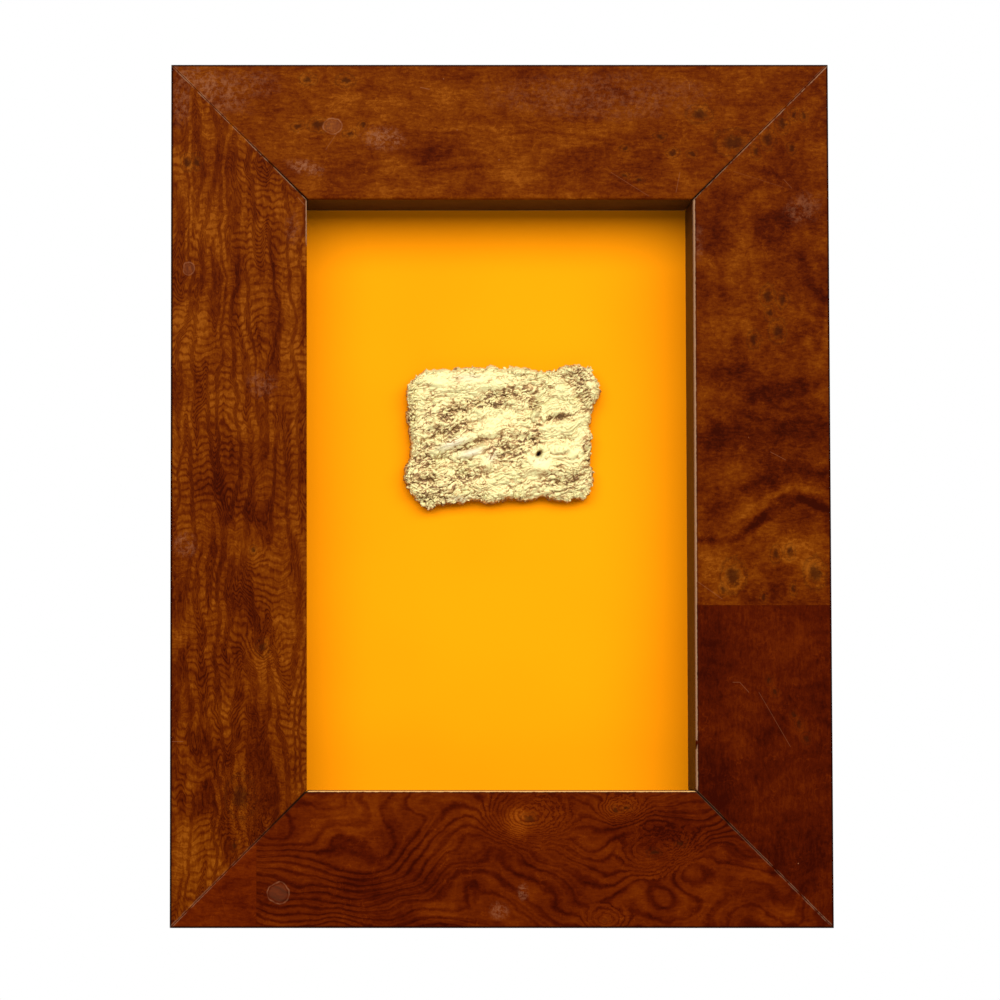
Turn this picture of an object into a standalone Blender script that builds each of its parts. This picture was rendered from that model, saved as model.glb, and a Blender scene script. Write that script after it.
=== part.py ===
"""A crust of native gold fixed on an orange board, in a small burl-veneered picture frame.

The frame hangs upright: +Z is up, its face looks along -Y and its back along +Y. The origin is the
notch of the sawtooth hanger that takes the wall's nail, in the plane of the frame's back.
"""

import math

import bmesh
import bpy
from mathutils import Matrix, Vector, noise

# Frame. It is a standard frame for a 4 by 6 inch picture, seen through a slightly smaller opening.
SIGHT_WIDTH = 0.0954
SIGHT_HEIGHT = 0.1459
MOULDING_WIDTH = 0.0335
FRAME_DEPTH = 0.0240
RECESS_DEPTH = 0.0160
RABBET_WIDTH = 0.0040
VENEER_THICKNESS = 0.0008
EASED_EDGE = 0.0004
GAP = 0.0003
HANG_DROP = 0.0150

# Where two leaves of veneer meet, measured from the middle of their rail or stile.
RIGHT_SEAM = -0.0274
BOTTOM_SEAM = -0.0600

# What lies in the rabbet.
BOARD_THICKNESS = 0.0015
PANEL_THICKNESS = 0.0030
BOARD_CLEARANCE = 0.0005

# Framer's points: a strip with one sharp end, driven flat into the rabbet's wall.
POINT_WIDTH = 0.0080
POINT_LENGTH = 0.0150
POINT_TIP = 0.0040
POINT_THICKNESS = 0.0006
POINT_DRIVEN = 0.0060
POINT_SPREAD = 0.0400

# V-shaped nails that pull the mitres together, set from behind.
CORNER_NAIL_LEG = 0.0050
CORNER_NAIL_THICKNESS = 0.0006
CORNER_NAIL_DEPTH = 0.0070
CORNER_NAIL_SUNK = 0.0004
CORNER_NAIL_PLACES = (0.0100, 0.0200)

# How many sides the round pieces have.
NAIL_SIDES = 16
BUMPER_SIDES = 28

# Sawtooth hanger: a strip whose middle stands off the wood, with teeth along its lower edge.
HANGER_LENGTH = 0.0450
HANGER_TOP = 0.0062
HANGER_TOOTH = 0.0016
HANGER_TOOTH_PITCH = 0.0030
HANGER_TEETH = 8
HANGER_THICKNESS = 0.0008
HANGER_STAND_OFF = 0.0015
HANGER_BEND_START = 0.0130
HANGER_BEND_END = 0.0152
HANGER_HOLE_PLACE = 0.0190
HANGER_HOLE_HEIGHT = 0.0026
HANGER_NAIL_SHANK = 0.0012
HANGER_NAIL_LENGTH = 0.0090
HANGER_NAIL_HEAD = 0.0032
HANGER_NAIL_HEAD_THICKNESS = 0.0007

# Pads that keep the lower corners off the wall.
BUMPER_DIAMETER = 0.0100
BUMPER_THICKNESS = 0.0026
BUMPER_SIDE = 0.0600
BUMPER_HEIGHT = 0.0115

# Gold crust: its place from the middle of the opening, and its body.
CRUST_OFFSET = (0.0012, 0.0151)
CRUST_THICKNESS = 0.0036
CRUST_RIM_HEIGHT = 0.0017
CRUST_RIM_ROUND = 0.0026
CRUST_LOWEST = 0.0010
CRUST_FOOT_INSET = 0.0022
CRUST_LIFT = 0.0005
CRUST_CELLS = (60, 44)
CRUST_SPAN = (0.0460, 0.0340)
CRUST_RIM_RELIEF = 0.40
CRUST_FRILL = 0.00045
CRUST_FRILL_SCALE = 0.9

# How the rim runs in behind, from front to foot: share of the foot's inset, and of the rim's height.
CRUST_SKIRT = ((0.10, 0.55), (1.0, 0.0))

# Creases in the crust: how many to a millimetre along and across its grain, a seed, and their depth in
# millimetres. Lumps are the same in every direction.
CRUST_GRAIN_TILT = math.radians(17.0)
CRUST_CREASES = ((0.09, 0.40, 3.1, 0.55), (0.16, 0.72, 5.3, 0.50))
CRUST_CREASE_WIDTH = 2.2
CRUST_LUMPS = (0.50, 7.7, 0.45)

# The crust's outline in millimetres from its middle, one list to a side, each from the corner where
# the last one ends. Points lie where the edge changes direction; the code rounds what is between.
CRUST_TOP = ((-21.4, 15.1), (-18.3, 17.0), (-9.1, 17.5), (-5.0, 17.3), (-2.2, 18.2), (0.0, 17.4),
             (4.0, 17.8), (10.1, 16.6), (13.2, 17.0), (15.6, 18.1), (20.5, 18.1), (22.4, 16.6))
CRUST_RIGHT = ((22.4, 16.6), (24.1, 14.0), (24.5, 11.5), (23.8, 9.2), (22.9, 7.6), (22.0, 2.8),
               (22.6, -0.2), (22.4, -7.2), (22.8, -9.5), (22.6, -12.4), (20.8, -15.6))
CRUST_BOTTOM = ((20.8, -15.6), (18.7, -15.1), (16.0, -16.0), (8.6, -15.2), (4.2, -16.0), (2.0, -15.2),
                (-2.8, -16.7), (-5.6, -15.9), (-11.4, -16.5), (-16.0, -17.0), (-17.3, -18.2),
                (-20.6, -16.4))
CRUST_LEFT = ((-20.6, -16.4), (-23.4, -12.6), (-24.5, -8.2), (-22.9, -5.2), (-22.7, 0.0), (-23.7, 5.0),
              (-23.3, 8.6), (-23.9, 11.6), (-21.4, 15.1))

# The crust's swells and troughs in millimetres: middle, half-length, half-width, rise, and turn of the
# long way in degrees.
CRUST_SWELLS = (
    (-7.0, 13.6, 8.0, 2.6, 0.8, 6),
    (-16.4, 13.4, 1.2, 2.4, 0.7, 80),
    (-12.4, 6.0, 3.8, 1.5, -1.1, 28),
    (-12.4, 1.6, 4.6, 1.3, -1.1, 14),
    (-16.5, 3.4, 1.6, 1.1, 1.1, 35),
    (1.0, 10.2, 4.4, 1.5, -1.0, 10),
    (-5.2, 8.0, 1.0, 1.6, -0.7, 70),
    (1.6, 8.6, 1.6, 0.7, 0.6, 20),
    (-11.9, -1.5, 4.4, 1.1, 0.9, 20),
    (-7.2, -2.2, 3.2, 1.0, -1.2, 24),
    (-8.3, -3.9, 3.4, 0.9, 0.7, 12),
    (-17.0, -5.4, 5.0, 2.4, -1.1, 12),
    (-18.0, -10.8, 4.6, 1.9, -1.2, 8),
    (-9.5, -8.4, 3.0, 1.8, -0.7, 15),
    (-4.0, -7.3, 2.2, 1.8, 0.8, 40),
    (1.2, -4.6, 3.4, 2.8, -0.55, 10),
    (7.6, -1.0, 3.4, 1.6, -0.65, 8),
    (8.0, 8.2, 1.6, 2.4, -1.0, 20),
    (8.9, 6.6, 0.7, 1.5, 1.3, -35),
    (14.4, 4.4, 2.8, 1.0, -0.7, 12),
    (10.0, -8.0, 2.8, 1.7, 0.8, -8),
    (15.6, -10.8, 4.6, 1.2, -0.8, 12),
    (17.8, -4.4, 1.6, 1.2, 0.7, 60),
    (21.2, -5.2, 0.9, 2.2, -0.9, 0),
    (22.4, 12.0, 1.3, 4.2, 0.9, 18),
    (17.6, 16.8, 3.6, 1.0, 0.8, 6),
    (19.4, 9.0, 1.1, 3.4, -0.8, 20),
    (16.8, 14.0, 3.0, 1.0, -0.7, 20),
    (8.0, 1.8, 7.0, 1.1, 0.4, 8),
    (5.5, 16.6, 5.0, 1.0, 0.5, 0),
    (-22.4, 4.4, 0.9, 2.4, -0.7, 0),
    (-18.0, -15.6, 4.6, 1.2, -0.8, 4),
    (-1.0, -14.6, 6.0, 1.4, 0.4, 6),
)

# The dark hole: middle, radius and depth in millimetres.
CRUST_PIT = (9.3, -4.1, 0.7, 2.0)

# Colours, as linear values from 0 to 1.
BURL_BROWN = (0.165, 0.032, 0.003)
STAINED_WOOD = (0.050, 0.014, 0.004)
BOARD_ORANGE = (0.95, 0.36, 0.004)
PALE_GOLD = (0.80, 0.60, 0.25)
HARDBOARD = (0.165, 0.085, 0.042)
STEEL = (0.52, 0.52, 0.52)
BRASSED_STEEL = (0.60, 0.45, 0.18)
PAD_GREY = (0.06, 0.06, 0.06)

MM = 0.001
FACE_Y = -FRAME_DEPTH
VENEER_BACK_Y = FACE_Y + VENEER_THICKNESS
CORE_FRONT_Y = VENEER_BACK_Y + GAP
BOARD_FRONT_Y = FACE_Y + RECESS_DEPTH
RABBET_Y = BOARD_FRONT_Y - GAP
BOARD_BACK_Y = BOARD_FRONT_Y + BOARD_THICKNESS
PANEL_FRONT_Y = BOARD_BACK_Y + GAP
PANEL_BACK_Y = PANEL_FRONT_Y + PANEL_THICKNESS
POINT_Y = PANEL_BACK_Y + GAP

OUTER_WIDTH = SIGHT_WIDTH + 2 * MOULDING_WIDTH
OUTER_HEIGHT = SIGHT_HEIGHT + 2 * MOULDING_WIDTH
CENTRE_Z = HANG_DROP - OUTER_HEIGHT / 2
MITRE_SETBACK = GAP / math.sqrt(2)

# Each side of the frame: its outward direction, the direction it runs in, how far its outer edge is
# from the middle of the frame, and half its length.
SIDES = {
    "top": (Vector((0, 0, 1)), Vector((1, 0, 0)), OUTER_HEIGHT / 2, OUTER_WIDTH / 2),
    "bottom": (Vector((0, 0, -1)), Vector((1, 0, 0)), OUTER_HEIGHT / 2, OUTER_WIDTH / 2),
    "left": (Vector((-1, 0, 0)), Vector((0, 0, 1)), OUTER_WIDTH / 2, OUTER_HEIGHT / 2),
    "right": (Vector((1, 0, 0)), Vector((0, 0, 1)), OUTER_WIDTH / 2, OUTER_HEIGHT / 2),
}


def clear_objects():
    """Remove whatever the file holds before the model is made."""
    for item in list(bpy.data.objects):
        bpy.data.objects.remove(item, do_unlink=True)


def make_material(name, colour, roughness, metallic=0.0):
    """Return a plain Principled material."""
    material = bpy.data.materials.new(name)
    material.use_nodes = True
    shader = material.node_tree.nodes["Principled BSDF"]
    shader.inputs["Base Color"].default_value = (*colour, 1.0)
    shader.inputs["Roughness"].default_value = roughness
    shader.inputs["Metallic"].default_value = metallic
    return material


def add_object(name, bm, material):
    """Turn a bmesh into a named object with outward faces."""
    bmesh.ops.recalc_face_normals(bm, faces=bm.faces)
    mesh = bpy.data.meshes.new(name)
    bm.to_mesh(mesh)
    bm.free()
    mesh.materials.append(material)
    item = bpy.data.objects.new(name, mesh)
    bpy.context.collection.objects.link(item)
    return item


def hide_cutter(cutter):
    """Mark an object as a cutting guide, not a piece."""
    cutter.hide_render = True
    cutter.display_type = "WIRE"
    return cutter


def cut(item, cutter):
    """Subtract a cutter from an object with a Boolean modifier."""
    boolean = item.modifiers.new("cut " + cutter.name, "BOOLEAN")
    boolean.operation = "DIFFERENCE"
    boolean.solver = "EXACT"
    boolean.object = cutter


def frame_point(side, across, along, y):
    """Place a point by its distance in from a side's outer edge and along that side."""
    outward, run, reach, _ = SIDES[side]
    return Vector((0, y, CENTRE_Z)) + outward * (reach - across) + run * along


def mitre_end(side, across):
    """Half the length that a side has at this distance in from its outer edge."""
    return SIDES[side][3] - across - MITRE_SETBACK


def extrude_outline(points, thickness_vector):
    """Return a bmesh prism: a flat outline pushed along a vector."""
    bm = bmesh.new()
    face = bm.faces.new([bm.verts.new(point) for point in points])
    pushed = bmesh.ops.extrude_face_region(bm, geom=[face])
    verts = [v for v in pushed["geom"] if isinstance(v, bmesh.types.BMVert)]
    bmesh.ops.translate(bm, verts=verts, vec=thickness_vector)
    return bm


def cylinder(radius, y_start, y_end, x, z, sides):
    """Return a bmesh cylinder that lies along Y."""
    bm = bmesh.new()
    place = Matrix.Translation((x, (y_start + y_end) / 2, z)) @ Matrix.Rotation(math.pi / 2, 4, "X")
    bmesh.ops.create_cone(bm, cap_ends=True, segments=sides, radius1=radius, radius2=radius,
                          depth=y_end - y_start, matrix=place)
    return bm


def moulding(name, side, material):
    """One mitred length of moulding, with the rabbet that holds the board and the panel."""
    lip = MOULDING_WIDTH - RABBET_WIDTH
    profile = ((EASED_EDGE, 0.0), (lip, 0.0), (lip, RABBET_Y), (MOULDING_WIDTH, RABBET_Y),
               (MOULDING_WIDTH, CORE_FRONT_Y), (0.0, CORE_FRONT_Y), (0.0, -EASED_EDGE))
    bm = bmesh.new()
    ends = []
    for sign in (-1, 1):
        ends.append([bm.verts.new(frame_point(side, a, sign * mitre_end(side, a), y)) for a, y in profile])
        bm.faces.new(ends[-1])
    count = len(profile)
    for i in range(count):
        j = (i + 1) % count
        bm.faces.new((ends[0][i], ends[0][j], ends[1][j], ends[1][i]))
    return add_object(name, bm, material)


def veneer_leaf(name, side, material, seam=None, keep_above=True):
    """One leaf of veneer on a side's face, cut square at a seam where another leaf joins it."""
    corners = [(a, sign * mitre_end(side, a)) for a, sign in
               ((0.0, -1), (MOULDING_WIDTH, -1), (MOULDING_WIDTH, 1), (0.0, 1))]
    bm = bmesh.new()
    bm.faces.new([bm.verts.new(frame_point(side, a, s, VENEER_BACK_Y)) for a, s in corners])
    if seam is not None:
        run = SIDES[side][1]
        toward = 1 if keep_above else -1
        spot = frame_point(side, 0.0, seam + toward * GAP / 2, VENEER_BACK_Y)
        bmesh.ops.bisect_plane(bm, geom=bm.verts[:] + bm.edges[:] + bm.faces[:], plane_co=spot,
                               plane_no=run * toward, clear_inner=True)
    pushed = bmesh.ops.extrude_face_region(bm, geom=bm.faces[:])
    verts = [v for v in pushed["geom"] if isinstance(v, bmesh.types.BMVert)]
    bmesh.ops.translate(bm, verts=verts, vec=(0, FACE_Y - VENEER_BACK_Y, 0))
    outward = SIDES[side][0]
    long_edges = []
    for edge in bm.edges:
        first, last = (v.co for v in edge.verts)
        on_face = max(first.y, last.y) < FACE_Y + GAP
        level = abs((last - first).dot(outward)) < GAP
        if on_face and level:
            long_edges.append(edge)
    bmesh.ops.bevel(bm, geom=long_edges, offset=EASED_EDGE, segments=1, affect="EDGES")
    return add_object(name, bm, material)


def rabbet_sheet(name, thickness, front_y, material):
    """A rectangular sheet that drops into the rabbet."""
    half_width = SIGHT_WIDTH / 2 + RABBET_WIDTH - BOARD_CLEARANCE
    half_height = SIGHT_HEIGHT / 2 + RABBET_WIDTH - BOARD_CLEARANCE
    corners = [Vector((x * half_width, front_y, CENTRE_Z + z * half_height))
               for x, z in ((-1, -1), (1, -1), (1, 1), (-1, 1))]
    return add_object(name, extrude_outline(corners, (0, thickness, 0)), material)


def point_outline(side, along, margin):
    """The outline of a framer's point, or of its slot when given a margin."""
    wall = MOULDING_WIDTH - RABBET_WIDTH
    half = POINT_WIDTH / 2 + margin
    tip = wall - POINT_DRIVEN - margin
    shoulder = tip + POINT_TIP
    tail = tip + POINT_LENGTH + margin
    y = POINT_Y - margin
    spots = ((tip, 0.0), (shoulder, half), (tail, half), (tail, -half), (shoulder, -half))
    return [frame_point(side, a, along + s, y) for a, s in spots]


def framer_points(steel, mouldings):
    """Six points that hold board and panel in, each in a slot in the rabbet's wall."""
    places = [("top", 0.0), ("bottom", 0.0)]
    places += [(side, sign * POINT_SPREAD) for side in ("left", "right") for sign in (-1, 1)]
    for number, (side, along) in enumerate(places, 1):
        bm = extrude_outline(point_outline(side, along, 0.0), (0, POINT_THICKNESS, 0))
        add_object(f"framer_point_{number}", bm, steel)
        slot = extrude_outline(point_outline(side, along, GAP), (0, POINT_THICKNESS + 2 * GAP, 0))
        cut(mouldings[side], hide_cutter(add_object(f"point_slot_{number}", slot, steel)))


def corner_nail_outline(corner_x, corner_z, inset, margin):
    """The outline of a V-shaped nail, both legs level with the frame's edges."""
    half = CORNER_NAIL_THICKNESS / 2 + margin
    leg = CORNER_NAIL_LEG + margin
    spots = ((-half, -half), (leg, -half), (leg, half), (half, half), (half, leg), (-half, leg))
    y = -CORNER_NAIL_SUNK + margin
    x = corner_x * (OUTER_WIDTH / 2 - inset)
    z = CENTRE_Z + corner_z * (OUTER_HEIGHT / 2 - inset)
    middle = Vector((x, y, z))
    return [middle + Vector((-corner_x * a, 0, -corner_z * b)) for a, b in spots]


def corner_nails(steel, mouldings):
    """Two nails across each mitre, in a slot that both lengths of moulding share."""
    number = 0
    for corner_x, stile in ((-1, "left"), (1, "right")):
        for corner_z, rail in ((-1, "bottom"), (1, "top")):
            for inset in CORNER_NAIL_PLACES:
                number += 1
                depth = (0, -CORNER_NAIL_DEPTH, 0)
                bm = extrude_outline(corner_nail_outline(corner_x, corner_z, inset, 0.0), depth)
                add_object(f"corner_nail_{number}", bm, steel)
                # The slot is open at the back, so it starts past the wood.
                start = corner_nail_outline(corner_x, corner_z, inset, GAP)
                start = [Vector((p.x, 2 * GAP, p.z)) for p in start]
                slot_depth = CORNER_NAIL_DEPTH + CORNER_NAIL_SUNK + 3 * GAP
                slot = add_object(f"nail_slot_{number}", extrude_outline(start, (0, -slot_depth, 0)), steel)
                hide_cutter(slot)
                cut(mouldings[rail], slot)
                cut(mouldings[stile], slot)


def hanger_outline():
    """The hanger's outline before it is bent: flat top, notched lower edge."""
    half = HANGER_LENGTH / 2
    tooth_run = HANGER_TEETH * HANGER_TOOTH_PITCH / 2
    spots = [(half, -HANGER_TOOTH / 2), (half, HANGER_TOP), (-half, HANGER_TOP), (-half, -HANGER_TOOTH / 2)]
    for i in range(HANGER_TEETH):
        start = -tooth_run + i * HANGER_TOOTH_PITCH
        spots += [(start, 0.0), (start + HANGER_TOOTH_PITCH / 2, -HANGER_TOOTH)]
    spots.append((tooth_run, 0.0))
    return [Vector((x, GAP, z)) for x, z in spots]


def hanger_rise(x):
    """How far the strip stands off the wood at a place along it."""
    slope = (HANGER_BEND_END - abs(x)) / (HANGER_BEND_END - HANGER_BEND_START)
    return HANGER_STAND_OFF * min(1.0, max(0.0, slope))


def sawtooth_hanger(material):
    """The toothed strip on the back of the top rail, with a nail hole in each end."""
    bm = extrude_outline(hanger_outline(), (0, HANGER_THICKNESS, 0))
    for bend in (HANGER_BEND_START, HANGER_BEND_END):
        for sign in (-1, 1):
            bmesh.ops.bisect_plane(bm, geom=bm.verts[:] + bm.edges[:] + bm.faces[:],
                                   plane_co=(sign * bend, 0, 0), plane_no=(1, 0, 0))
    for vert in bm.verts:
        vert.co.y += hanger_rise(vert.co.x)
    hanger = add_object("sawtooth_hanger", bm, material)
    for sign in (-1, 1):
        hole = cylinder(HANGER_NAIL_SHANK / 2 + GAP, 0.0, GAP + HANGER_THICKNESS + GAP,
                        sign * HANGER_HOLE_PLACE, HANGER_HOLE_HEIGHT, NAIL_SIDES)
        cut(hanger, hide_cutter(add_object(f"hanger_hole_{sign}", hole, material)))
    return hanger


def hanger_nail(name, x, material, rail):
    """A flat-headed nail through the end of the hanger into the rail."""
    head_y = GAP + HANGER_THICKNESS + GAP
    bm = bmesh.new()
    rings = ((HANGER_NAIL_HEAD / 2, head_y + HANGER_NAIL_HEAD_THICKNESS), (HANGER_NAIL_HEAD / 2, head_y),
             (HANGER_NAIL_SHANK / 2, head_y), (HANGER_NAIL_SHANK / 2, -HANGER_NAIL_LENGTH))
    loops = []
    for radius, y in rings:
        turn = [2 * math.pi * i / NAIL_SIDES for i in range(NAIL_SIDES)]
        loops.append([bm.verts.new((x + radius * math.cos(t), y, HANGER_HOLE_HEIGHT + radius * math.sin(t)))
                      for t in turn])
    for upper, lower in zip(loops, loops[1:]):
        for i in range(NAIL_SIDES):
            j = (i + 1) % NAIL_SIDES
            bm.faces.new((upper[i], upper[j], lower[j], lower[i]))
    bm.faces.new(loops[0])
    tip = bm.verts.new((x, -HANGER_NAIL_LENGTH - HANGER_NAIL_SHANK, HANGER_HOLE_HEIGHT))
    for i in range(NAIL_SIDES):
        bm.faces.new((loops[-1][i], loops[-1][(i + 1) % NAIL_SIDES], tip))
    add_object(name, bm, material)
    bore_end = -HANGER_NAIL_LENGTH - HANGER_NAIL_SHANK - GAP
    bore = cylinder(HANGER_NAIL_SHANK / 2 + GAP, bore_end, 2 * GAP, x, HANGER_HOLE_HEIGHT, NAIL_SIDES)
    cut(rail, hide_cutter(add_object(name + "_bore", bore, material)))


def bumper(name, sign, material):
    """A round pad near a lower corner, on the back of the bottom rail."""
    z = CENTRE_Z - OUTER_HEIGHT / 2 + BUMPER_HEIGHT
    bm = cylinder(BUMPER_DIAMETER / 2, GAP, GAP + BUMPER_THICKNESS, sign * BUMPER_SIDE, z, BUMPER_SIDES)
    back = GAP + BUMPER_THICKNESS / 2
    rim = [e for e in bm.edges if all(v.co.y > back for v in e.verts)]
    bmesh.ops.bevel(bm, geom=rim, offset=EASED_EDGE, segments=1, affect="EDGES")
    return add_object(name, bm, material)


def smooth_along(points, t):
    """A point a fraction of the way along a smooth curve through a list of points."""
    last = len(points) - 1
    spot = min(t * last, last - 1e-9)
    i = int(spot)
    f = spot - i
    before, start, end, after = (points[min(max(k, 0), last)] for k in (i - 1, i, i + 1, i + 2))
    weights = (-0.5 * f + f ** 2 - 0.5 * f ** 3, 1 - 2.5 * f ** 2 + 1.5 * f ** 3,
               0.5 * f + 2 * f ** 2 - 1.5 * f ** 3, -0.5 * f ** 2 + 0.5 * f ** 3)
    return tuple(sum(w * p[axis] for w, p in zip(weights, (before, start, end, after))) for axis in (0, 1))


def crust_plan(u, v):
    """Where a place of the crust's grid lies, in millimetres from its middle.

    u runs left to right and v bottom to top, both from 0 to 1, between the four sides of the outline.
    """
    top, right = smooth_along(CRUST_TOP, u), smooth_along(CRUST_RIGHT, 1 - v)
    bottom, left = smooth_along(CRUST_BOTTOM, 1 - u), smooth_along(CRUST_LEFT, v)
    corners = (CRUST_LEFT[0], CRUST_BOTTOM[0], CRUST_LEFT[-1], CRUST_TOP[-1])
    blend = ((1 - u) * (1 - v), u * (1 - v), (1 - u) * v, u * v)
    place = []
    for axis in (0, 1):
        sides = (1 - v) * bottom[axis] + v * top[axis] + (1 - u) * left[axis] + u * right[axis]
        place.append(sides - sum(w * c[axis] for w, c in zip(blend, corners)))
    return place


def crust_relief(x, z):
    """Height of the crust's swells, troughs and creases at a place, in millimetres."""
    height = 0.0
    for middle_x, middle_z, long, short, rise, turn in CRUST_SWELLS:
        angle = math.radians(turn)
        along = ((x - middle_x) * math.cos(angle) + (z - middle_z) * math.sin(angle)) / long
        across = ((z - middle_z) * math.cos(angle) - (x - middle_x) * math.sin(angle)) / short
        height += rise * math.exp(-(along ** 2 + across ** 2))
    along = x * math.cos(CRUST_GRAIN_TILT) + z * math.sin(CRUST_GRAIN_TILT)
    across = z * math.cos(CRUST_GRAIN_TILT) - x * math.sin(CRUST_GRAIN_TILT)
    for scale_along, scale_across, seed, depth in CRUST_CREASES:
        level = noise.noise(Vector((along * scale_along, across * scale_across, seed)))
        height -= depth * max(0.0, 1 - abs(level) * CRUST_CREASE_WIDTH)
    scale, seed, rise = CRUST_LUMPS
    return height + rise * noise.noise(Vector((x * scale, z * scale, seed)))


def crust_front(x, z, edge):
    """Height of the crust's front over its foot, given the distance in from its edge, in metres."""
    inward = min(1.0, edge / CRUST_RIM_ROUND)
    shoulder = math.sqrt(max(0.0, 1 - (1 - inward) ** 2))
    body = CRUST_RIM_HEIGHT + (CRUST_THICKNESS - CRUST_RIM_HEIGHT) * shoulder
    share = CRUST_RIM_RELIEF + (1 - CRUST_RIM_RELIEF) * shoulder
    pit_x, pit_z, pit_radius, pit_depth = CRUST_PIT
    pit = pit_depth * math.exp(-((x - pit_x) ** 2 + (z - pit_z) ** 2) / pit_radius ** 2)
    return max(body + (crust_relief(x, z) * share - pit) * MM, CRUST_LOWEST)


def crust_frill(x, z):
    """A small sideways shift that makes the crust's edge uneven, in metres."""
    return CRUST_FRILL * noise.noise(Vector((x * CRUST_FRILL_SCALE, z * CRUST_FRILL_SCALE, 0.0)))


def gold_crust(material):
    """The gold specimen: one closed crust with a rough front, an undercut rim and a flat foot."""
    columns, rows = CRUST_CELLS
    middle = Vector((CRUST_OFFSET[0], 0, CENTRE_Z + CRUST_OFFSET[1]))
    foot_y = BOARD_FRONT_Y - GAP
    bm = bmesh.new()
    grid = []
    for row in range(rows + 1):
        line = []
        for column in range(columns + 1):
            u, v = column / columns, row / rows
            x, z = crust_plan(u, v)
            edge = min(min(u, 1 - u) * CRUST_SPAN[0], min(v, 1 - v) * CRUST_SPAN[1])
            height = CRUST_LIFT + crust_front(x, z, edge)
            frill = crust_frill(x, z)
            line.append(bm.verts.new(middle + Vector((x * MM + frill, foot_y - height, z * MM - frill))))
        grid.append(line)
    for row in range(rows):
        for column in range(columns):
            lower, upper = grid[row], grid[row + 1]
            bm.faces.new((lower[column], lower[column + 1], upper[column + 1], upper[column]))
    border = [grid[0][c] for c in range(columns)] + [grid[r][columns] for r in range(rows)]
    border += [grid[rows][c] for c in range(columns, 0, -1)] + [grid[r][0] for r in range(rows, 0, -1)]
    add_crust_skirt(bm, border, middle, foot_y)
    return add_object("gold_specimen", bm, material)


def add_crust_skirt(bm, border, middle, foot_y):
    """Close the crust behind: a rounded rim that runs in to the flat foot on the board."""
    rings = [border]
    for inward, lift in CRUST_SKIRT:
        ring = []
        for vert in border:
            flat = Vector((vert.co.x - middle.x, 0, vert.co.z - middle.z))
            shrink = 1 - inward * CRUST_FOOT_INSET / flat.length
            y = foot_y - lift * (foot_y - vert.co.y)
            ring.append(bm.verts.new((middle.x + flat.x * shrink, y, middle.z + flat.z * shrink)))
        rings.append(ring)
    count = len(border)
    for outer, inner in zip(rings, rings[1:]):
        for i in range(count):
            j = (i + 1) % count
            bm.faces.new((outer[i], inner[i], inner[j], outer[j]))
    bm.faces.new(rings[-1])


def build():
    """Make every piece of the framed specimen."""
    clear_objects()
    stained = make_material("stained_wood", STAINED_WOOD, 0.45)
    burl = make_material("burl_veneer", BURL_BROWN, 0.30)
    steel = make_material("steel", STEEL, 0.35, 1.0)
    brassed = make_material("brassed_steel", BRASSED_STEEL, 0.35, 1.0)

    names = {"top": "top_rail", "bottom": "bottom_rail", "left": "left_stile", "right": "right_stile"}
    mouldings = {side: moulding(name, side, stained) for side, name in names.items()}
    veneer_leaf("veneer_top", "top", burl)
    veneer_leaf("veneer_left", "left", burl)
    veneer_leaf("veneer_right_upper", "right", burl, RIGHT_SEAM, keep_above=True)
    veneer_leaf("veneer_right_lower", "right", burl, RIGHT_SEAM, keep_above=False)
    veneer_leaf("veneer_bottom", "bottom", burl, BOTTOM_SEAM, keep_above=True)
    veneer_leaf("veneer_bottom_end", "bottom", burl, BOTTOM_SEAM, keep_above=False)

    rabbet_sheet("mount_board", BOARD_THICKNESS, BOARD_FRONT_Y, make_material("orange", BOARD_ORANGE, 0.55))
    rabbet_sheet("back_panel", PANEL_THICKNESS, PANEL_FRONT_Y, make_material("hardboard", HARDBOARD, 0.8))
    gold_crust(make_material("gold", PALE_GOLD, 0.35, 1.0))

    framer_points(steel, mouldings)
    corner_nails(steel, mouldings)
    sawtooth_hanger(brassed)
    for name, sign in (("hanger_nail_left", -1), ("hanger_nail_right", 1)):
        hanger_nail(name, sign * HANGER_HOLE_PLACE, brassed, mouldings["top"])
    pad = make_material("pad", PAD_GREY, 0.9)
    for name, sign in (("bumper_left", -1), ("bumper_right", 1)):
        bumper(name, sign, pad)


build()
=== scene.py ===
"""Looks of a framed gold crust: burl veneer, orange board, crinkled gold and the frame's back.

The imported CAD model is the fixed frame. The classes below dress its nodes, or stand finer pieces in
their place. Lengths are in metres, except where a name or comment says millimetres or pixels.
"""

import logging
import math
from collections.abc import Iterable, Sequence
from dataclasses import dataclass
from enum import Enum

import bmesh
import bpy
import numpy as np
from mathutils import Matrix, Vector


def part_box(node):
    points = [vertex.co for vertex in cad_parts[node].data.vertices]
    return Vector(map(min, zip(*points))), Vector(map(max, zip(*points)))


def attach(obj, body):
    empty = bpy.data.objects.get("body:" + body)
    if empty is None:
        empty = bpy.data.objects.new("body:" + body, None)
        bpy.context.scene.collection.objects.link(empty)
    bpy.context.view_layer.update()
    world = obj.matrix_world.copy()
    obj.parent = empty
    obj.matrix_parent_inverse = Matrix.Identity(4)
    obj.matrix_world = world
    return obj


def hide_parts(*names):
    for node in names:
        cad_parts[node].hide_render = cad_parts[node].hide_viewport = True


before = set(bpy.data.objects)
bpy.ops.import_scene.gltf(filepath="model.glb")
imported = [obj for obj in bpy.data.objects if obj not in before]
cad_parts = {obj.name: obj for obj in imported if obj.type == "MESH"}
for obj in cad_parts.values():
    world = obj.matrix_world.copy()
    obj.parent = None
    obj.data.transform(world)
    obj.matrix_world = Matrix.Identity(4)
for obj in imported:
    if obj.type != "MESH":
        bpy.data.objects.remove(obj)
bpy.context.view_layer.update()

LOG = logging.getLogger("framed_gold")
BODY = "root"
MM = 0.001
RIGHT_SEAM = -0.0274
BOTTOM_SEAM = -0.0600

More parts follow.
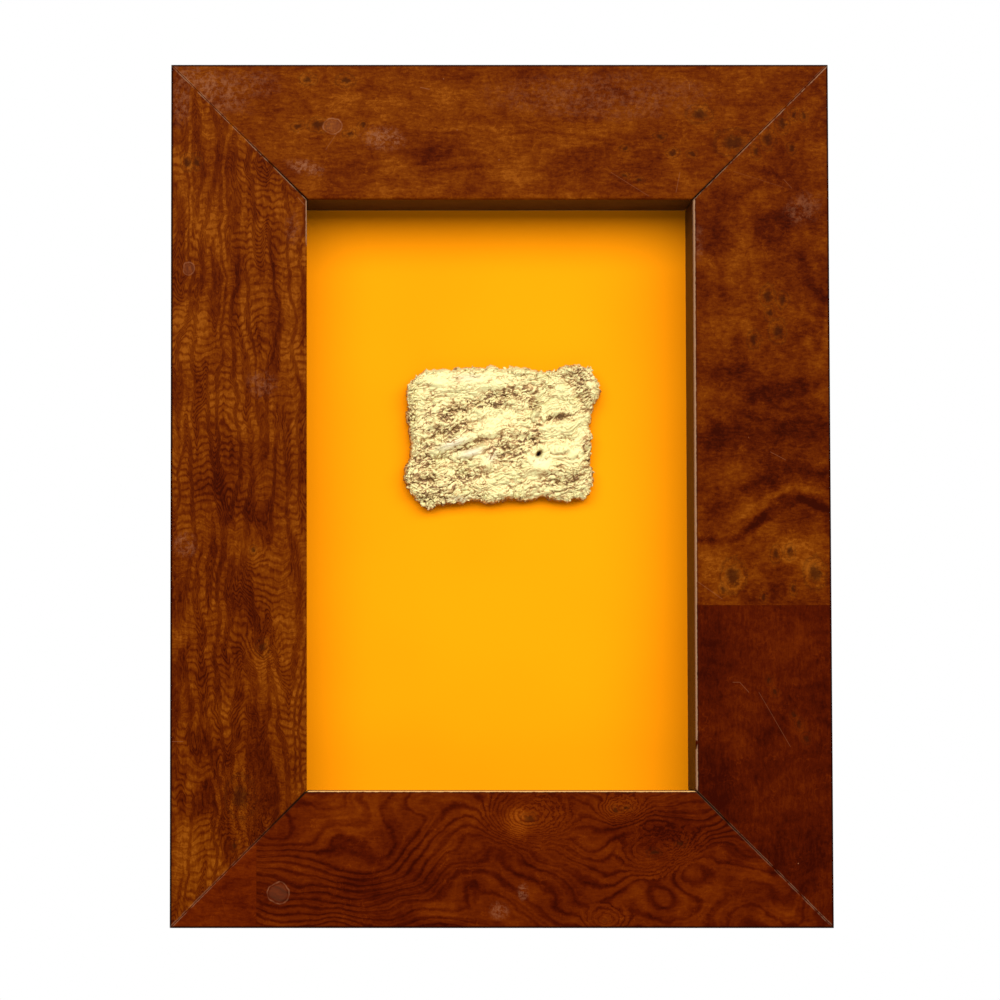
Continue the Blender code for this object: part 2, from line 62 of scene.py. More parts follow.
Colour = tuple[float, float, float]
Pixel = tuple[float, float]


class Wire:
    """A shader socket that takes part in Python arithmetic, one Math node to an operation."""

    def __init__(self, recipe: "Recipe", socket: bpy.types.NodeSocket) -> None:
        """Keep the socket, and the recipe that new nodes are added to."""
        self.recipe = recipe
        self.socket = socket

    def _math(self, operation: str, first: "Value", second: "Value" = 0.0) -> "Wire":
        """Add a Math node for two values."""
        return self.recipe.node("ShaderNodeMath", {"operation": operation}, {0: first, 1: second})

    def __add__(self, other: "Value") -> "Wire":
        """Sum."""
        return self._math("ADD", self, other)

    def __radd__(self, other: "Value") -> "Wire":
        """Sum with a number on the left."""
        return self._math("ADD", other, self)

    def __sub__(self, other: "Value") -> "Wire":
        """Difference."""
        return self._math("SUBTRACT", self, other)

    def __rsub__(self, other: "Value") -> "Wire":
        """Difference with a number on the left."""
        return self._math("SUBTRACT", other, self)

    def __mul__(self, other: "Value") -> "Wire":
        """Product."""
        return self._math("MULTIPLY", self, other)

    def __rmul__(self, other: "Value") -> "Wire":
        """Product with a number on the left."""
        return self._math("MULTIPLY", other, self)

    def __pow__(self, other: "Value") -> "Wire":
        """Power."""
        return self._math("POWER", self, other)

    def __abs__(self) -> "Wire":
        """Size without sign."""
        return self._math("ABSOLUTE", self)

    def sine(self) -> "Wire":
        """Sine of an angle in radians."""
        return self._math("SINE", self)

    def most(self, other: "Value") -> "Wire":
        """The larger of two values."""
        return self._math("MAXIMUM", self, other)

    def least(self, other: "Value") -> "Wire":
        """The smaller of two values."""
        return self._math("MINIMUM", self, other)

    def ramp(self, start: float, end: float, low: "Value" = 0.0, high: "Value" = 1.0) -> "Wire":
        """Ease from low to high as the value goes from start to end.

        Args:
            start: the value at which the result is low.
            end: the value at which the result is high; it may be less than start.
            low: the result before start.
            high: the result past end.

        Returns:
            The eased value, held at low and high outside the range.
        """
        sockets = {0: self, 1: start, 2: end, 3: low, 4: high}
        return self.recipe.node("ShaderNodeMapRange", {"interpolation_type": "SMOOTHSTEP"}, sockets)


Value = float | Wire
Spot = Vector | Wire


class Recipe:
    """One material's node tree, put together from expressions."""

    def __init__(self, name: str) -> None:
        """Start a material with its Principled shader.

        Args:
            name: the material's name.
        """
        self.material = bpy.data.materials.new(name)
        self.material.use_nodes = True
        self.nodes = self.material.node_tree.nodes
        self.links = self.material.node_tree.links
        self.shader = self.nodes["Principled BSDF"]

    def node(self, kind: str, settings: dict | None = None, values: dict | None = None,
             output: int = 0) -> Wire:
        """Add any node.

        Args:
            kind: the node's type.
            settings: its properties, set first; "stops" holds a ramp's places and colours.
            values: its sockets by name or number, each a constant or a wire.
            output: which output to hand back.

        Returns:
            A wire from the chosen output.
        """
        made = self.nodes.new(kind)
        for key, value in (settings or {}).items():
            if key == "stops":
                self._set_stops(made.color_ramp, value)
            else:
                setattr(made, key, value)
        for key, value in (values or {}).items():
            if isinstance(value, Wire):
                self.links.new(value.socket, made.inputs[key])
            else:
                made.inputs[key].default_value = value
        return Wire(self, made.outputs[output])

    @staticmethod
    def _set_stops(ramp: bpy.types.ColorRamp, stops: Sequence[tuple[float, Colour]]) -> None:
        """Give a colour ramp its places and colours.

        Args:
            ramp: the ramp.
            stops: each stop's place and colour.
        """
        while len(ramp.elements) < len(stops):
            ramp.elements.new(1.0)
        for element, (place, colour) in zip(ramp.elements, stops):
            element.position = place
            element.color = (*colour, 1.0)

    def place(self) -> Wire:
        """Where a point of the surface is, in millimetres."""
        metres = self.node("ShaderNodeTexCoord", output=3)
        return self.vector("SCALE", metres, factor=1 / MM)

    def attribute(self, name: str) -> Wire:
        """A number stored on the mesh."""
        return self.node("ShaderNodeAttribute", {"attribute_name": name}, output=2)

    def vector(self, operation: str, first: Spot, second: Spot | None = None,
               factor: Value | None = None, output: int = 0) -> Wire:
        """Add a Vector Math node.

        Args:
            operation: what the node does.
            first: the first vector.
            second: the second vector, if it takes one.
            factor: the scale, for SCALE.
            output: 0 for a vector and 1 for a number.

        Returns:
            A wire from the chosen output.
        """
        values = {0: first}
        if second is not None:
            values[1] = second
        if factor is not None:
            values[3] = factor
        return self.node("ShaderNodeVectorMath", {"operation": operation}, values, output)

    def parts(self, vector: Wire) -> tuple[Wire, Wire, Wire]:
        """The three numbers of a vector."""
        split = self.node("ShaderNodeSeparateXYZ", values={0: vector}).socket.node
        return tuple(Wire(self, socket) for socket in split.outputs)

    def offset(self, place: Wire, start: Vector, heading: Vector) -> Wire:
        """How far a place lies from a start, measured in one direction."""
        return self.vector("DOT_PRODUCT", self.vector("SUBTRACT", place, start), heading, output=1)

    def distance(self, first: Spot, second: Spot) -> Wire:
        """How far apart two places are."""
        return self.vector("DISTANCE", first, second, output=1)

    def noise(self, vector: Wire, scale: float, detail: float = 2.0, rough: float = 0.5,
              output: int = 0) -> Wire:
        """Smooth random values, from 0 to 1 about 0.5, or a random colour when output is 1."""
        values = {"Vector": vector, "Scale": scale, "Detail": detail, "Roughness": rough}
        return self.node("ShaderNodeTexNoise", values=values, output=output)

    def warp(self, vector: Wire, scale: float, reach: float, detail: float = 1.0) -> Wire:
        """Push a place about by a smooth random amount of up to about half of reach."""
        push = self.vector("SUBTRACT", self.noise(vector, scale, detail, output=1), Vector((0.5, 0.5, 0.5)))
        return self.vector("ADD", vector, self.vector("SCALE", push, factor=reach))

    def blend(self, factor: Value, first: "Paint", second: "Paint", mode: str = "MIX") -> Wire:
        """Mix two colours."""
        values = {0: factor, 6: self._rgba(first), 7: self._rgba(second)}
        return self.node("ShaderNodeMix", {"data_type": "RGBA", "blend_type": mode}, values, 2)

    @staticmethod
    def _rgba(paint: "Paint") -> "Wire | tuple[float, float, float, float]":
        """A colour as a socket takes it."""
        return paint if isinstance(paint, Wire) else (*paint, 1.0)

    def stops(self, value: Wire, *stops: tuple[float, Colour]) -> Wire:
        """Look a colour up in a ramp."""
        return self.node("ShaderNodeValToRGB", {"stops": stops}, {0: value})

    def bump(self, height: Wire, depth: float, under: Wire | None = None) -> Wire:
        """A surface normal tilted by a height.

        Args:
            height: the height, in units of depth.
            depth: how deep a height of 1 is, in metres.
            under: the normal that it starts from, if not the mesh's own.

        Returns:
            The tilted normal.
        """
        values = {"Height": height, "Distance": depth, "Strength": 1.0}
        if under is not None:
            values["Normal"] = under
        return self.node("ShaderNodeBump", values=values)

    def finish(self, colour: "Paint", roughness: Value, normal: Wire | None = None, metallic: Value = 0.0,
               specular: float = 0.5) -> bpy.types.Material:
        """Connect the shader.

        Args:
            colour: the base colour.
            roughness: the roughness.
            normal: the tilted normal, if the surface has relief.
            metallic: how metallic the surface is.
            specular: the strength of its gloss, the same all over.

        Returns:
            The finished material.
        """
        sockets = {"Base Color": self._rgba(colour), "Roughness": roughness, "Metallic": metallic}
        if normal is not None:
            sockets["Normal"] = normal
        for key, value in sockets.items():
            if isinstance(value, Wire):
                self.links.new(value.socket, self.shader.inputs[key])
            else:
                self.shader.inputs[key].default_value = value
        self.shader.inputs["Specular IOR Level"].default_value = specular
        return self.material


Paint = Colour | Wire


class Side(Enum):
    """A side of the frame: the signs of its outward direction along X and Z."""

    TOP = (0, 1)
    BOTTOM = (0, -1)
    LEFT = (-1, 0)
    RIGHT = (1, 0)

    @property
    def outward(self) -> Vector:
        """The direction from the opening to the side's outer edge."""
        return Vector((self.value[0], 0, self.value[1]))

    @property
    def run(self) -> Vector:
        """The direction the side runs in."""
        return Vector((abs(self.value[1]), 0, abs(self.value[0])))


@dataclass(frozen=True)
class FramePlan:
    """The frame's main lines, read from the CAD nodes."""

    low: Vector
    high: Vector
    width: float
    face_y: float
    core_y: float
    board_y: float

    @classmethod
    def from_cad(cls) -> "FramePlan":
        """Read the lines from the nodes' boxes.

        Returns:
            The plan.
        """
        stile_low, stile_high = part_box("veneer_left")
        low = Vector((stile_low.x, stile_low.y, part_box("veneer_bottom")[0].z))
        high = Vector((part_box("veneer_right_upper")[1].x, 0.0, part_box("veneer_top")[1].z))
        return cls(low, high, stile_high.x - stile_low.x, stile_low.y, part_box("top_rail")[0].y,
                   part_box("mount_board")[0].y)

    @property
    def middle(self) -> Vector:
        """The middle of the frame, on its face."""
        return Vector(((self.low.x + self.high.x) / 2, self.face_y, (self.low.z + self.high.z) / 2))

    def reach(self, side: Side) -> float:
        """How far a side's outer edge is from the middle."""
        half = (self.high - self.low) / 2
        return half.z if side.outward.z else half.x

    def half_run(self, side: Side) -> float:
        """Half the length of a side's outer edge."""
        half = (self.high - self.low) / 2
        return half.x if side.outward.z else half.z

    def spot(self, side: Side, across: float, along: float, y: float) -> Vector:
        """Place a point by its distance in from a side's outer edge and along that side.

        Args:
            side: the side of the frame.
            across: how far in from the outer edge.
            along: how far from the middle of the side.
            y: the point's depth.

        Returns:
            The point.
        """
        point = self.middle + side.outward * (self.reach(side) - across) + side.run * along
        point.y = y
        return point


@dataclass(frozen=True)
class PhotoScale:
    """Turns a place in the photograph into one on the frame's face."""

    plan: FramePlan
    pixel: float = 0.2464 * MM
    opening_corner: Pixel = (307.0, 788.0)

    def on_face(self, px: float, py: float) -> Vector:
        """The point of the face that a pixel shows, in millimetres as materials measure it.

        Args:
            px: the pixel's x in the photograph.
            py: the pixel's y.

        Returns:
            The point.
        """
        corner_x, corner_y = self.opening_corner
        x = self.plan.low.x + self.plan.width + (px - corner_x) * self.pixel
        z = self.plan.low.z + self.plan.width + (corner_y - py) * self.pixel
        return Vector((x, self.plan.face_y, z)) / MM


@dataclass(frozen=True)
class Knot:
    """A dark eye in the burl: its pixel, radius and reach in mm, and how many rings bend round it."""

    at: Pixel
    radius: float
    reach: float = 4.0
    rings: float = 0.8
    dark: float = 0.8


@dataclass(frozen=True)
class Cloud:
    """A soft light or dark patch: its pixel, half-lengths in mm, turn in degrees and lift in tone."""

    at: Pixel
    long: float
    short: float
    turn: float
    lift: float


@dataclass(frozen=True)
class Vein:
    """A broad light or dark band along a path of pixels: half-width in mm, and lift in tone."""

    path: tuple[Pixel, ...]
    half: float
    lift: float


@dataclass(frozen=True)
class SheenAndScuff(Cloud):
    """A pale patch on the lacquer: painted sheen on the top leaf, scuffs elsewhere; its lift is how pale."""


@dataclass(frozen=True)
class Stroke:
    """A scratch between two pixels: half-width in mm, and how pale it is."""

    start: Pixel
    end: Pixel
    half: float
    pale: float


@dataclass(frozen=True)
class Halo:
    """A pale ring worn in the lacquer: its pixel, radius and half-width in mm, and strength."""

    at: Pixel
    radius: float
    half: float
    strength: float
    squash: float = 1.0


def marks(kind: type, *rows: tuple[float, ...]) -> tuple:
    """Marks of one kind, from rows of a pixel's x and y and the mark's other values in order."""
    return tuple(kind(row[:2], *row[2:]) for row in rows)


@dataclass(frozen=True)
class Figure:
    """How growth lines run in a leaf: their flow in lines per mm, and how far and fast they bend."""

    flow: tuple[float, float]
    bend: float
    squeeze: tuple[float, float]
    depth: float
    wobble: float = 0.5
    detail: float = 2.0
    strands: float = 0.0
    grain: tuple[float, float] | None = None


@dataclass(frozen=True)
class BurlFinish:
    """Burl veneer under worn satin lacquer, with painted sheen and a painted highlight beside each mitre."""

    name: str
    side: Side
    seed: float
    figure: Figure
    tone: float = 0.5
    tint: Colour = (1.0, 1.0, 1.0)
    blotch: float = 0.9
    fibre: float = 0.5
    bands: float = 0.0
    worn_width: float = 0.0
    worn_share: float = 1.0
    worn_above: float | None = None
    # How strong the painted highlight beside each mitre is, at the sight edge and at the outer edge.
    mitre_low: tuple[float, float] = (0.1, 0.2)
    mitre_high: tuple[float, float] = (0.1, 0.2)
    hairs: float = 0.16
    dust: float = 0.9
    knots: tuple[Knot, ...] = ()
    clouds: tuple[Cloud, ...] = ()
    veins: tuple[Vein, ...] = ()
    sheens_and_scuffs: tuple[SheenAndScuff, ...] = ()
    strokes: tuple[Stroke, ...] = ()
    halos: tuple[Halo, ...] = ()

    TONES = (
        (0.0, (0.027, 0.0021, 0.0)), (0.25, (0.055, 0.0054, 0.0)), (0.5, (0.092, 0.0132, 0.0001)),
        (0.75, (0.137, 0.0268, 0.0004)), (1.0, (0.210, 0.0520, 0.0024)))
    EYE = (0.027, 0.0045, 0.0008)
    # The pale colour of painted sheen on the lacquer, and of scratches, worn rings and dust.
    SHEEN_AND_MARKS = (0.220, 0.080, 0.034)
    COLUMNS = (0.13, 0.0, 0.013)
    STRAND_LEVELS = (0.38, 0.50, 0.62)
    # The bare wood of worn edges, also the painted highlight beside the mitres; LIT_WOOD is a painted lit
    # copy of it for the bottom leaf.
    PALE_WOOD = (0.30, 0.165, 0.090)
    LIT_WOOD = (0.62, 0.36, 0.130)
    GAP = (0.020, 0.004, 0.001)
    ARRIS = (0.010, 0.0012, 0.0006)
    ARRIS_MM = (0.62, 0.34)
    DUST_SCALE = 0.13
    DUST_SIZE = (0.024, 0.012)
    LINE_POWER = 2.2
    RIPPLE_RATE = 2.6
    ROUGHNESS = 0.34
    SEED_SHIFT = (371.0, 0.0, 533.0)
    SPECULAR = 0.008

    def material(self, scale: PhotoScale) -> bpy.types.Material:
        """Mix the veneer's figure, knots, marks, wear, painted sheen and painted mitre highlights into one
        material.

        Args:
            scale: the photograph's scale.

        Returns:
            The material.
        """
        recipe = Recipe(self.name)
        place = recipe.place()
        seeded = recipe.vector("ADD", place, Vector(self.SEED_SHIFT) * self.seed)
        ragged = recipe.warp(place, 0.7, 1.5, 2.0)
        colour, grain = self._wood(recipe, scale, seeded, place, ragged)
        colour, sheen_and_rub = self._marks(recipe, scale, place, ragged, colour)
        colour, worn = self._edges(recipe, scale.plan, place, colour)
        roughness = self.ROUGHNESS + recipe.noise(place, 0.9, 3.0, 0.7) * 0.14 + sheen_and_rub * 0.2 + worn * 0.3
        normal = recipe.bump(recipe.noise(place, 0.7, 1.0), 0.02 * MM)
        normal = recipe.bump(grain - worn * 6.0, 0.005 * MM, normal)
        return recipe.finish(colour, roughness, normal, specular=self.SPECULAR)

    def _wood(self, recipe: Recipe, scale: PhotoScale, seeded: Wire, place: Wire,
              ragged: Wire) -> tuple[Wire, Wire]:
        """Growth lines, blotches, fibres, patches and knots.

        Args:
            recipe: the material being mixed.
            scale: the photograph's scale.
            seeded: the place, moved by the leaf's seed.
            place: the place itself.
            ragged: the place with a ragged warp.

        Returns:
            The wood's colour and its grain height.
        """
        figure = self.figure
        bent = recipe.warp(seeded, 0.05, 7.0)
        bent = recipe.vector("MULTIPLY", bent, Vector((figure.squeeze[0], 0, figure.squeeze[1])))
        swell = recipe.noise(bent, 1.0, figure.detail, 0.5)
        field = recipe.vector("DOT_PRODUCT", place, Vector((figure.flow[0], 0, figure.flow[1])), output=1)
        field = field + swell * figure.bend + recipe.noise(seeded, 0.45, 2.0) * figure.wobble
        strand: Value = 0.0
        if figure.strands:
            column = recipe.warp(recipe.warp(seeded, 0.09, 5.0), 0.4, 1.2, 2.0)
            column = recipe.vector("MULTIPLY", column, Vector(self.COLUMNS))
            column = recipe.noise(column, 1.0, 1.5)
            for level in self.STRAND_LEVELS:
                field = field + column.ramp(level - 0.04, level + 0.04, 0.0, figure.strands)
                strand = abs(column - level).ramp(0.045, 0.015).most(strand)
        eyes: Value = 0.0
        glow: Value = 0.0
        oval = Vector((0.80, 0, 1.15)) if self.side.run.x else Vector((1.15, 0, 0.80))
        uneven = recipe.noise(place, 1.4, 2.0, 0.7) * 1.1 - 0.55
        for knot in self.knots:
            away = recipe.vector("MULTIPLY", recipe.vector("SUBTRACT", ragged, scale.on_face(*knot.at)), oval)
            away = recipe.vector("LENGTH", away, output=1) + uneven * knot.radius
            field = field + away.ramp(knot.reach, 0.0, 0.0, knot.rings)
            glow = glow + away.ramp(knot.reach * 0.8, knot.radius, 0.0, 0.12)
            ring = abs(away - knot.radius * 1.5).ramp(knot.radius * 0.30, 0.0, 0.0, knot.dark * 0.45)
            eyes = away.ramp(knot.radius * 1.25, knot.radius * 0.25, 0.0, knot.dark).most(ring).most(eyes)
        lines = ((field * math.tau).sine() * 0.5 + 0.5) ** self.LINE_POWER
        ripples = (field * (math.tau * self.RIPPLE_RATE)).sine() * 0.5
        shown = recipe.noise(seeded, 0.09, 2.0).ramp(0.36, 0.62, 0.35, 1.0)
        fibre, curl, hair = self._fibres(recipe, seeded)
        blotch = recipe.noise(recipe.warp(seeded, 0.08, 9.0), 0.10, 3.0, 0.6)
        tone = self.tone + glow + (blotch - 0.5) * self.blotch + (fibre - 0.5) * self.fibre
        tone = tone + (curl - 0.5) * self.fibre * 0.8 - (lines - 0.35) * shown * figure.depth
        tone = tone - ripples * (1.2 - shown) * figure.depth * 0.4 - strand * self.bands
        tone = tone + hair * self.hairs
        for cloud in self.clouds:
            tone = tone + self._cloud(recipe, place, scale, cloud)
        for vein in self.veins:
            tone = tone + self._vein(recipe, ragged, scale, vein)
        colour = recipe.blend(1.0, recipe.stops(tone, *self.TONES), self.tint, "MULTIPLY")
        return recipe.blend(eyes, colour, self.EYE), fibre + lines * 0.5

    def _fibres(self, recipe: Recipe, seeded: Wire) -> tuple[Wire, Wire, Wire]:
        """Fine fibres along the side, curly ones between them, and thin pale hairs.

        Args:
            recipe: the material being mixed.
            seeded: the place, moved by the leaf's seed.

        Returns:
            The straight fibres, the curls and the hairs.
        """
        run_x, run_z = self.figure.grain or ((0.16, 1.0) if self.side.run.x else (1.0, 0.16))
        bent = recipe.warp(seeded, 0.3, 1.8)
        straight = recipe.noise(recipe.vector("MULTIPLY", bent, Vector((run_x, 1, run_z))), 1.7, 4.0, 0.7)
        curl = recipe.noise(recipe.warp(seeded, 1.1, 1.2), 1.1, 3.0, 0.7)
        loops = abs(recipe.noise(recipe.warp(seeded, 0.25, 3.0), 0.34, 2.0, 0.6) - 0.5).ramp(0.022, 0.004)
        seen = recipe.noise(seeded, 0.22, 2.0).ramp(0.48, 0.66)
        return straight, curl, loops * seen

    def _marks(self, recipe: Recipe, scale: PhotoScale, place: Wire, ragged: Wire,
               colour: Wire) -> tuple[Wire, Wire]:
        """Painted sheen, scuffs, scratches, worn rings and dust on the lacquer.

        Args:
            recipe: the material being mixed.
            scale: the photograph's scale.
            place: where the surface is.
            ragged: the place with a ragged warp.
            colour: the colour so far.

        Returns:
            The colour with its marks, and how rubbed the lacquer is.
        """
        sheen_and_rubbing: Value = 0.0
        fleck = recipe.noise(ragged, 0.9, 4.0, 0.75)
        # pale patches: painted sheen where the top leaf catches the light, and scuffs
        for sheen_patch in self.sheens_and_scuffs:
            sheen_and_rubbing = (self._cloud(recipe, place, scale, sheen_patch) * fleck.ramp(0.42, 0.66)).most(sheen_and_rubbing)
        for stroke in self.strokes:
            sheen_and_rubbing = (self._stroke(recipe, place, scale, stroke) * stroke.pale).most(sheen_and_rubbing)
        for halo in self.halos:
            sheen_and_rubbing = self._halo(recipe, place, scale, halo).most(sheen_and_rubbing)
        sown = {"Vector": recipe.warp(place, 1.5, 0.3), "Scale": self.DUST_SCALE}
        speck = recipe.node("ShaderNodeTexVoronoi", values=sown)
        settled = recipe.noise(place, 0.11, 1.0).ramp(0.42, 0.60)
        sheen_and_rubbing = (speck.ramp(*self.DUST_SIZE) * settled * self.dust).most(sheen_and_rubbing)
        return recipe.blend(sheen_and_rubbing, colour, self.SHEEN_AND_MARKS), sheen_and_rubbing

    @staticmethod
    def _cloud(recipe: Recipe, place: Wire, scale: PhotoScale, cloud: Cloud) -> Wire:
        """How much a patch lifts the tone.

        Args:
            recipe: the material being mixed.
            place: where the surface is.
            scale: the photograph's scale.
            cloud: the patch.

        Returns:
            The lift, 0 outside the patch.
        """
        turn = Matrix.Rotation(math.radians(-cloud.turn), 3, "Y")
        away = recipe.vector("SUBTRACT", place, scale.on_face(*cloud.at))
        along = recipe.vector("DOT_PRODUCT", away, turn @ Vector((1 / cloud.long, 0, 0)), output=1)
        across = recipe.vector("DOT_PRODUCT", away, turn @ Vector((0, 0, 1 / cloud.short)), output=1)
        ragged = recipe.noise(place, 0.25, 3.0, 0.6) * 1.6 - 0.8
        return (along * along + across * across + ragged).ramp(1.4, 0.0, 0.0, cloud.lift)

    @staticmethod
    def _stroke(recipe: Recipe, place: Wire, scale: PhotoScale, stroke: Stroke) -> Wire:
        """1 on a stroke's line, falling to 0 past its half-width.

        Args:
            recipe: the material being mixed.
            place: where the surface is.
            scale: the photograph's scale.
            stroke: the stroke.

        Returns:
            How near the stroke's line a place is.
        """
        start, end = scale.on_face(*stroke.start), scale.on_face(*stroke.end)
        heading = (end - start).normalized()
        away = recipe.vector("SUBTRACT", place, start)
        along = recipe.vector("DOT_PRODUCT", away, heading, output=1)
        along = along.most(0.0).least((end - start).length)
        nearest = recipe.vector("SCALE", heading, factor=along)
        return recipe.distance(away, nearest).ramp(stroke.half, 0.0)

    def _vein(self, recipe: Recipe, ragged: Wire, scale: PhotoScale, vein: Vein) -> Wire:
        """How much a band lifts the tone, its pieces run together.

        Args:
            recipe: the material being mixed.
            ragged: the place with a ragged warp.
            scale: the photograph's scale.
            vein: the band.

        Returns:
            The lift.
        """
        soft = recipe.warp(ragged, 0.15, 2.5)
        pieces = [self._stroke(recipe, soft, scale, Stroke(start, end, vein.half, 1.0))
                  for start, end in zip(vein.path, vein.path[1:])]
        band = pieces[0]
        for piece in pieces[1:]:
            band = band.most(piece)
        return band * vein.lift

    @staticmethod
    def _halo(recipe: Recipe, place: Wire, scale: PhotoScale, halo: Halo) -> Wire:
        """A ring's strength at a place, broken here and there.

        Args:
            recipe: the material being mixed.
            place: where the surface is.
            scale: the photograph's scale.
            halo: the ring.

        Returns:
            The strength.
        """
        away = recipe.vector("SUBTRACT", recipe.warp(place, 0.5, 0.9), scale.on_face(*halo.at))
        away = recipe.vector("MULTIPLY", away, Vector((1.0, 0.0, halo.squash)))
        radius = recipe.vector("LENGTH", away, output=1)
        broken = recipe.noise(place, 0.6, 1.0).ramp(0.35, 0.6, 0.3, 1.0)
        inside = radius.ramp(halo.radius, halo.radius * 0.7) * 0.25
        return (abs(radius - halo.radius).ramp(halo.half, 0.0) * broken).most(inside) * halo.strength

    def _edges(self, recipe: Recipe, plan: FramePlan, place: Wire, colour: Wire) -> tuple[Wire, Value]:
        """Darken the outer arris and the joints, wear the lacquer through along the inner edge, painted
        brighter on the bottom leaf where it faces the light, and paint a pale highlight beside each mitre.

        Args:
            recipe: the material being mixed.
            plan: the frame's main lines.
            place: where the surface is.
            colour: the veneer's colour so far.

        Returns:
            The colour with its worn edges and painted mitre highlights, and how worn it is.
        """
        edge = plan.spot(self.side, plan.width, 0.0, plan.face_y) / MM
        inward = recipe.offset(place, edge, self.side.outward)
        width = plan.width / MM
        chips = recipe.noise(place, 1.1, 3.0, 0.7) - 0.5
        start, end = (width - inset for inset in self.ARRIS_MM)
        colour = recipe.blend((inward + chips * 0.15).ramp(start, end) * 0.95, colour, self.ARRIS)
        worn: Value = 0.0
        if self.worn_width:
            share = 0.4 * self.worn_share
            kept = recipe.noise(place, 0.16, 2.0).ramp(0.70 - share, 0.74 - share)
            if self.worn_above is not None:
                height = recipe.parts(place)[2]
                above = (height + chips * 4.0).ramp(self.worn_above - 1.5, self.worn_above + 1.5)
                kept = kept.most(0.85) * above
            worn = (inward + chips * 0.35).ramp(self.worn_width + 0.08, self.worn_width - 0.10) * kept
            line = abs(inward - self.worn_width - 0.22).ramp(0.18, 0.04)
            colour = recipe.blend(line * kept * 0.55, colour, self.GAP)
            # the bottom leaf's worn edge is painted in a lit copy of the bare wood, as it faces the light
            # above
            colour = recipe.blend(worn, colour, self.LIT_WOOD if self.side is Side.BOTTOM else self.PALE_WOOD)
        patchy = recipe.noise(place, 0.35, 3.0, 0.65).ramp(0.36, 0.56)
        for end, (inner, outer) in zip((-1, 1), (self.mitre_low, self.mitre_high)):
            reach = end * (plan.half_run(self.side) - plan.width)
            corner = plan.spot(self.side, plan.width, reach, plan.face_y)
            across = (self.side.outward - self.side.run * end).normalized()
            beside = recipe.offset(place, corner / MM, across)
            shade = abs(beside).ramp(0.50, 0.15) * inward.ramp(width * 0.6, 0.0, 0.0, 0.85)
            colour = recipe.blend(shade, colour, self.GAP)
            # a pale painted highlight along the mitre
            sheen_and_rubbing = abs(abs(beside) + chips * 0.3 - 0.20).ramp(0.18, 0.03)
            sheen_and_rubbing = sheen_and_rubbing * patchy * inward.ramp(0.0, width, inner, outer)
            colour = recipe.blend(sheen_and_rubbing, colour, self.PALE_WOOD)
        return colour, worn


@dataclass(frozen=True)
class StainedFinish:
    """Dark stain over the moulding's front, sides and sight edge, with raw wood behind."""

    name: str
    side: Side
    STAIN = (0.050, 0.0165, 0.0030)
    STAIN_LIGHT = (0.090, 0.034, 0.0070)
    RAW = (0.46, 0.29, 0.145)
    RAW_DARK = (0.33, 0.18, 0.08)
    RAW_EDGE_MM = -0.25
    RABBET_EDGE_MM = -8.2
    RABBET_MM = 4.6
    RINGS = 42.0

    def material(self, plan: FramePlan) -> bpy.types.Material:
        """Mix stain and raw wood, each with its grain along the side.

        Args:
            plan: the frame's main lines.

        Returns:
            The material.
        """
        recipe = Recipe(self.name)
        place = recipe.place()
        squeeze = Vector((0.06, 1, 1)) if self.side.run.x else Vector((1, 1, 0.06))
        grain = recipe.vector("MULTIPLY", recipe.warp(place, 0.05, 3.0), squeeze)
        fibre = recipe.noise(grain, 1.8, 4.0, 0.6)
        band = recipe.noise(grain, 0.35, 2.0)
        stain = recipe.blend(fibre.ramp(0.3, 0.75), self.STAIN, self.STAIN_LIGHT)
        rings = ((band * self.RINGS).sine() * 0.5 + 0.5) ** 3.0
        raw = recipe.blend(rings * 0.6 + fibre * 0.3, self.RAW, self.RAW_DARK)
        depth = recipe.parts(place)[1]
        edge = plan.spot(self.side, plan.width, 0.0, plan.face_y) / MM
        inward = recipe.offset(place, edge, self.side.outward)
        ragged = recipe.noise(place, 0.6, 2.0) * 0.5 - 0.25
        behind = (depth + ragged * 0.6).ramp(self.RAW_EDGE_MM - 0.2, self.RAW_EDGE_MM + 0.05)
        in_rabbet = (depth + ragged).ramp(self.RABBET_EDGE_MM - 0.6, self.RABBET_EDGE_MM + 0.2)
        in_rabbet = in_rabbet * (inward - self.RABBET_MM).ramp(0.2, -0.2)
        bare = behind.most(in_rabbet)
        colour = recipe.blend(bare, stain, raw)
        roughness = 0.42 + bare * 0.38 + fibre * 0.08
        return recipe.finish(colour, roughness, recipe.bump(fibre, 0.03 * MM), specular=0.03)


@dataclass(frozen=True)
class BoardFinish:
    """The even orange of the mount board, a fine painted tooth with hardly any mark on it."""

    ORANGE = (0.93, 0.300, 0.0006)
    DEEPER = (0.90, 0.270, 0.0004)
    CORE = (0.80, 0.74, 0.62)
    FRONT_MM = 0.35
    SOFT_MM = 0.1

    def material(self, plan: FramePlan) -> bpy.types.Material:
        """Mix the orange face and the board's pale core.

        Args:
            plan: the frame's main lines.

        Returns:
            The material.
        """
        recipe = Recipe("orange_board")
        place = recipe.place()
        cloud = recipe.noise(place, 0.02, 2.0)
        tooth = recipe.noise(place, 3.5, 3.0, 0.7)
        face = recipe.blend(cloud.ramp(0.3, 0.7) * 0.6 + tooth * 0.25, self.ORANGE, self.DEEPER)
        depth = recipe.parts(place)[1]
        behind = plan.board_y / MM + self.FRONT_MM
        core = depth.ramp(behind - self.SOFT_MM, behind + self.SOFT_MM)
        colour = recipe.blend(core, face, self.CORE)
        return recipe.finish(colour, 0.55 + tooth * 0.1, recipe.bump(tooth, 0.008 * MM), specular=0.02)


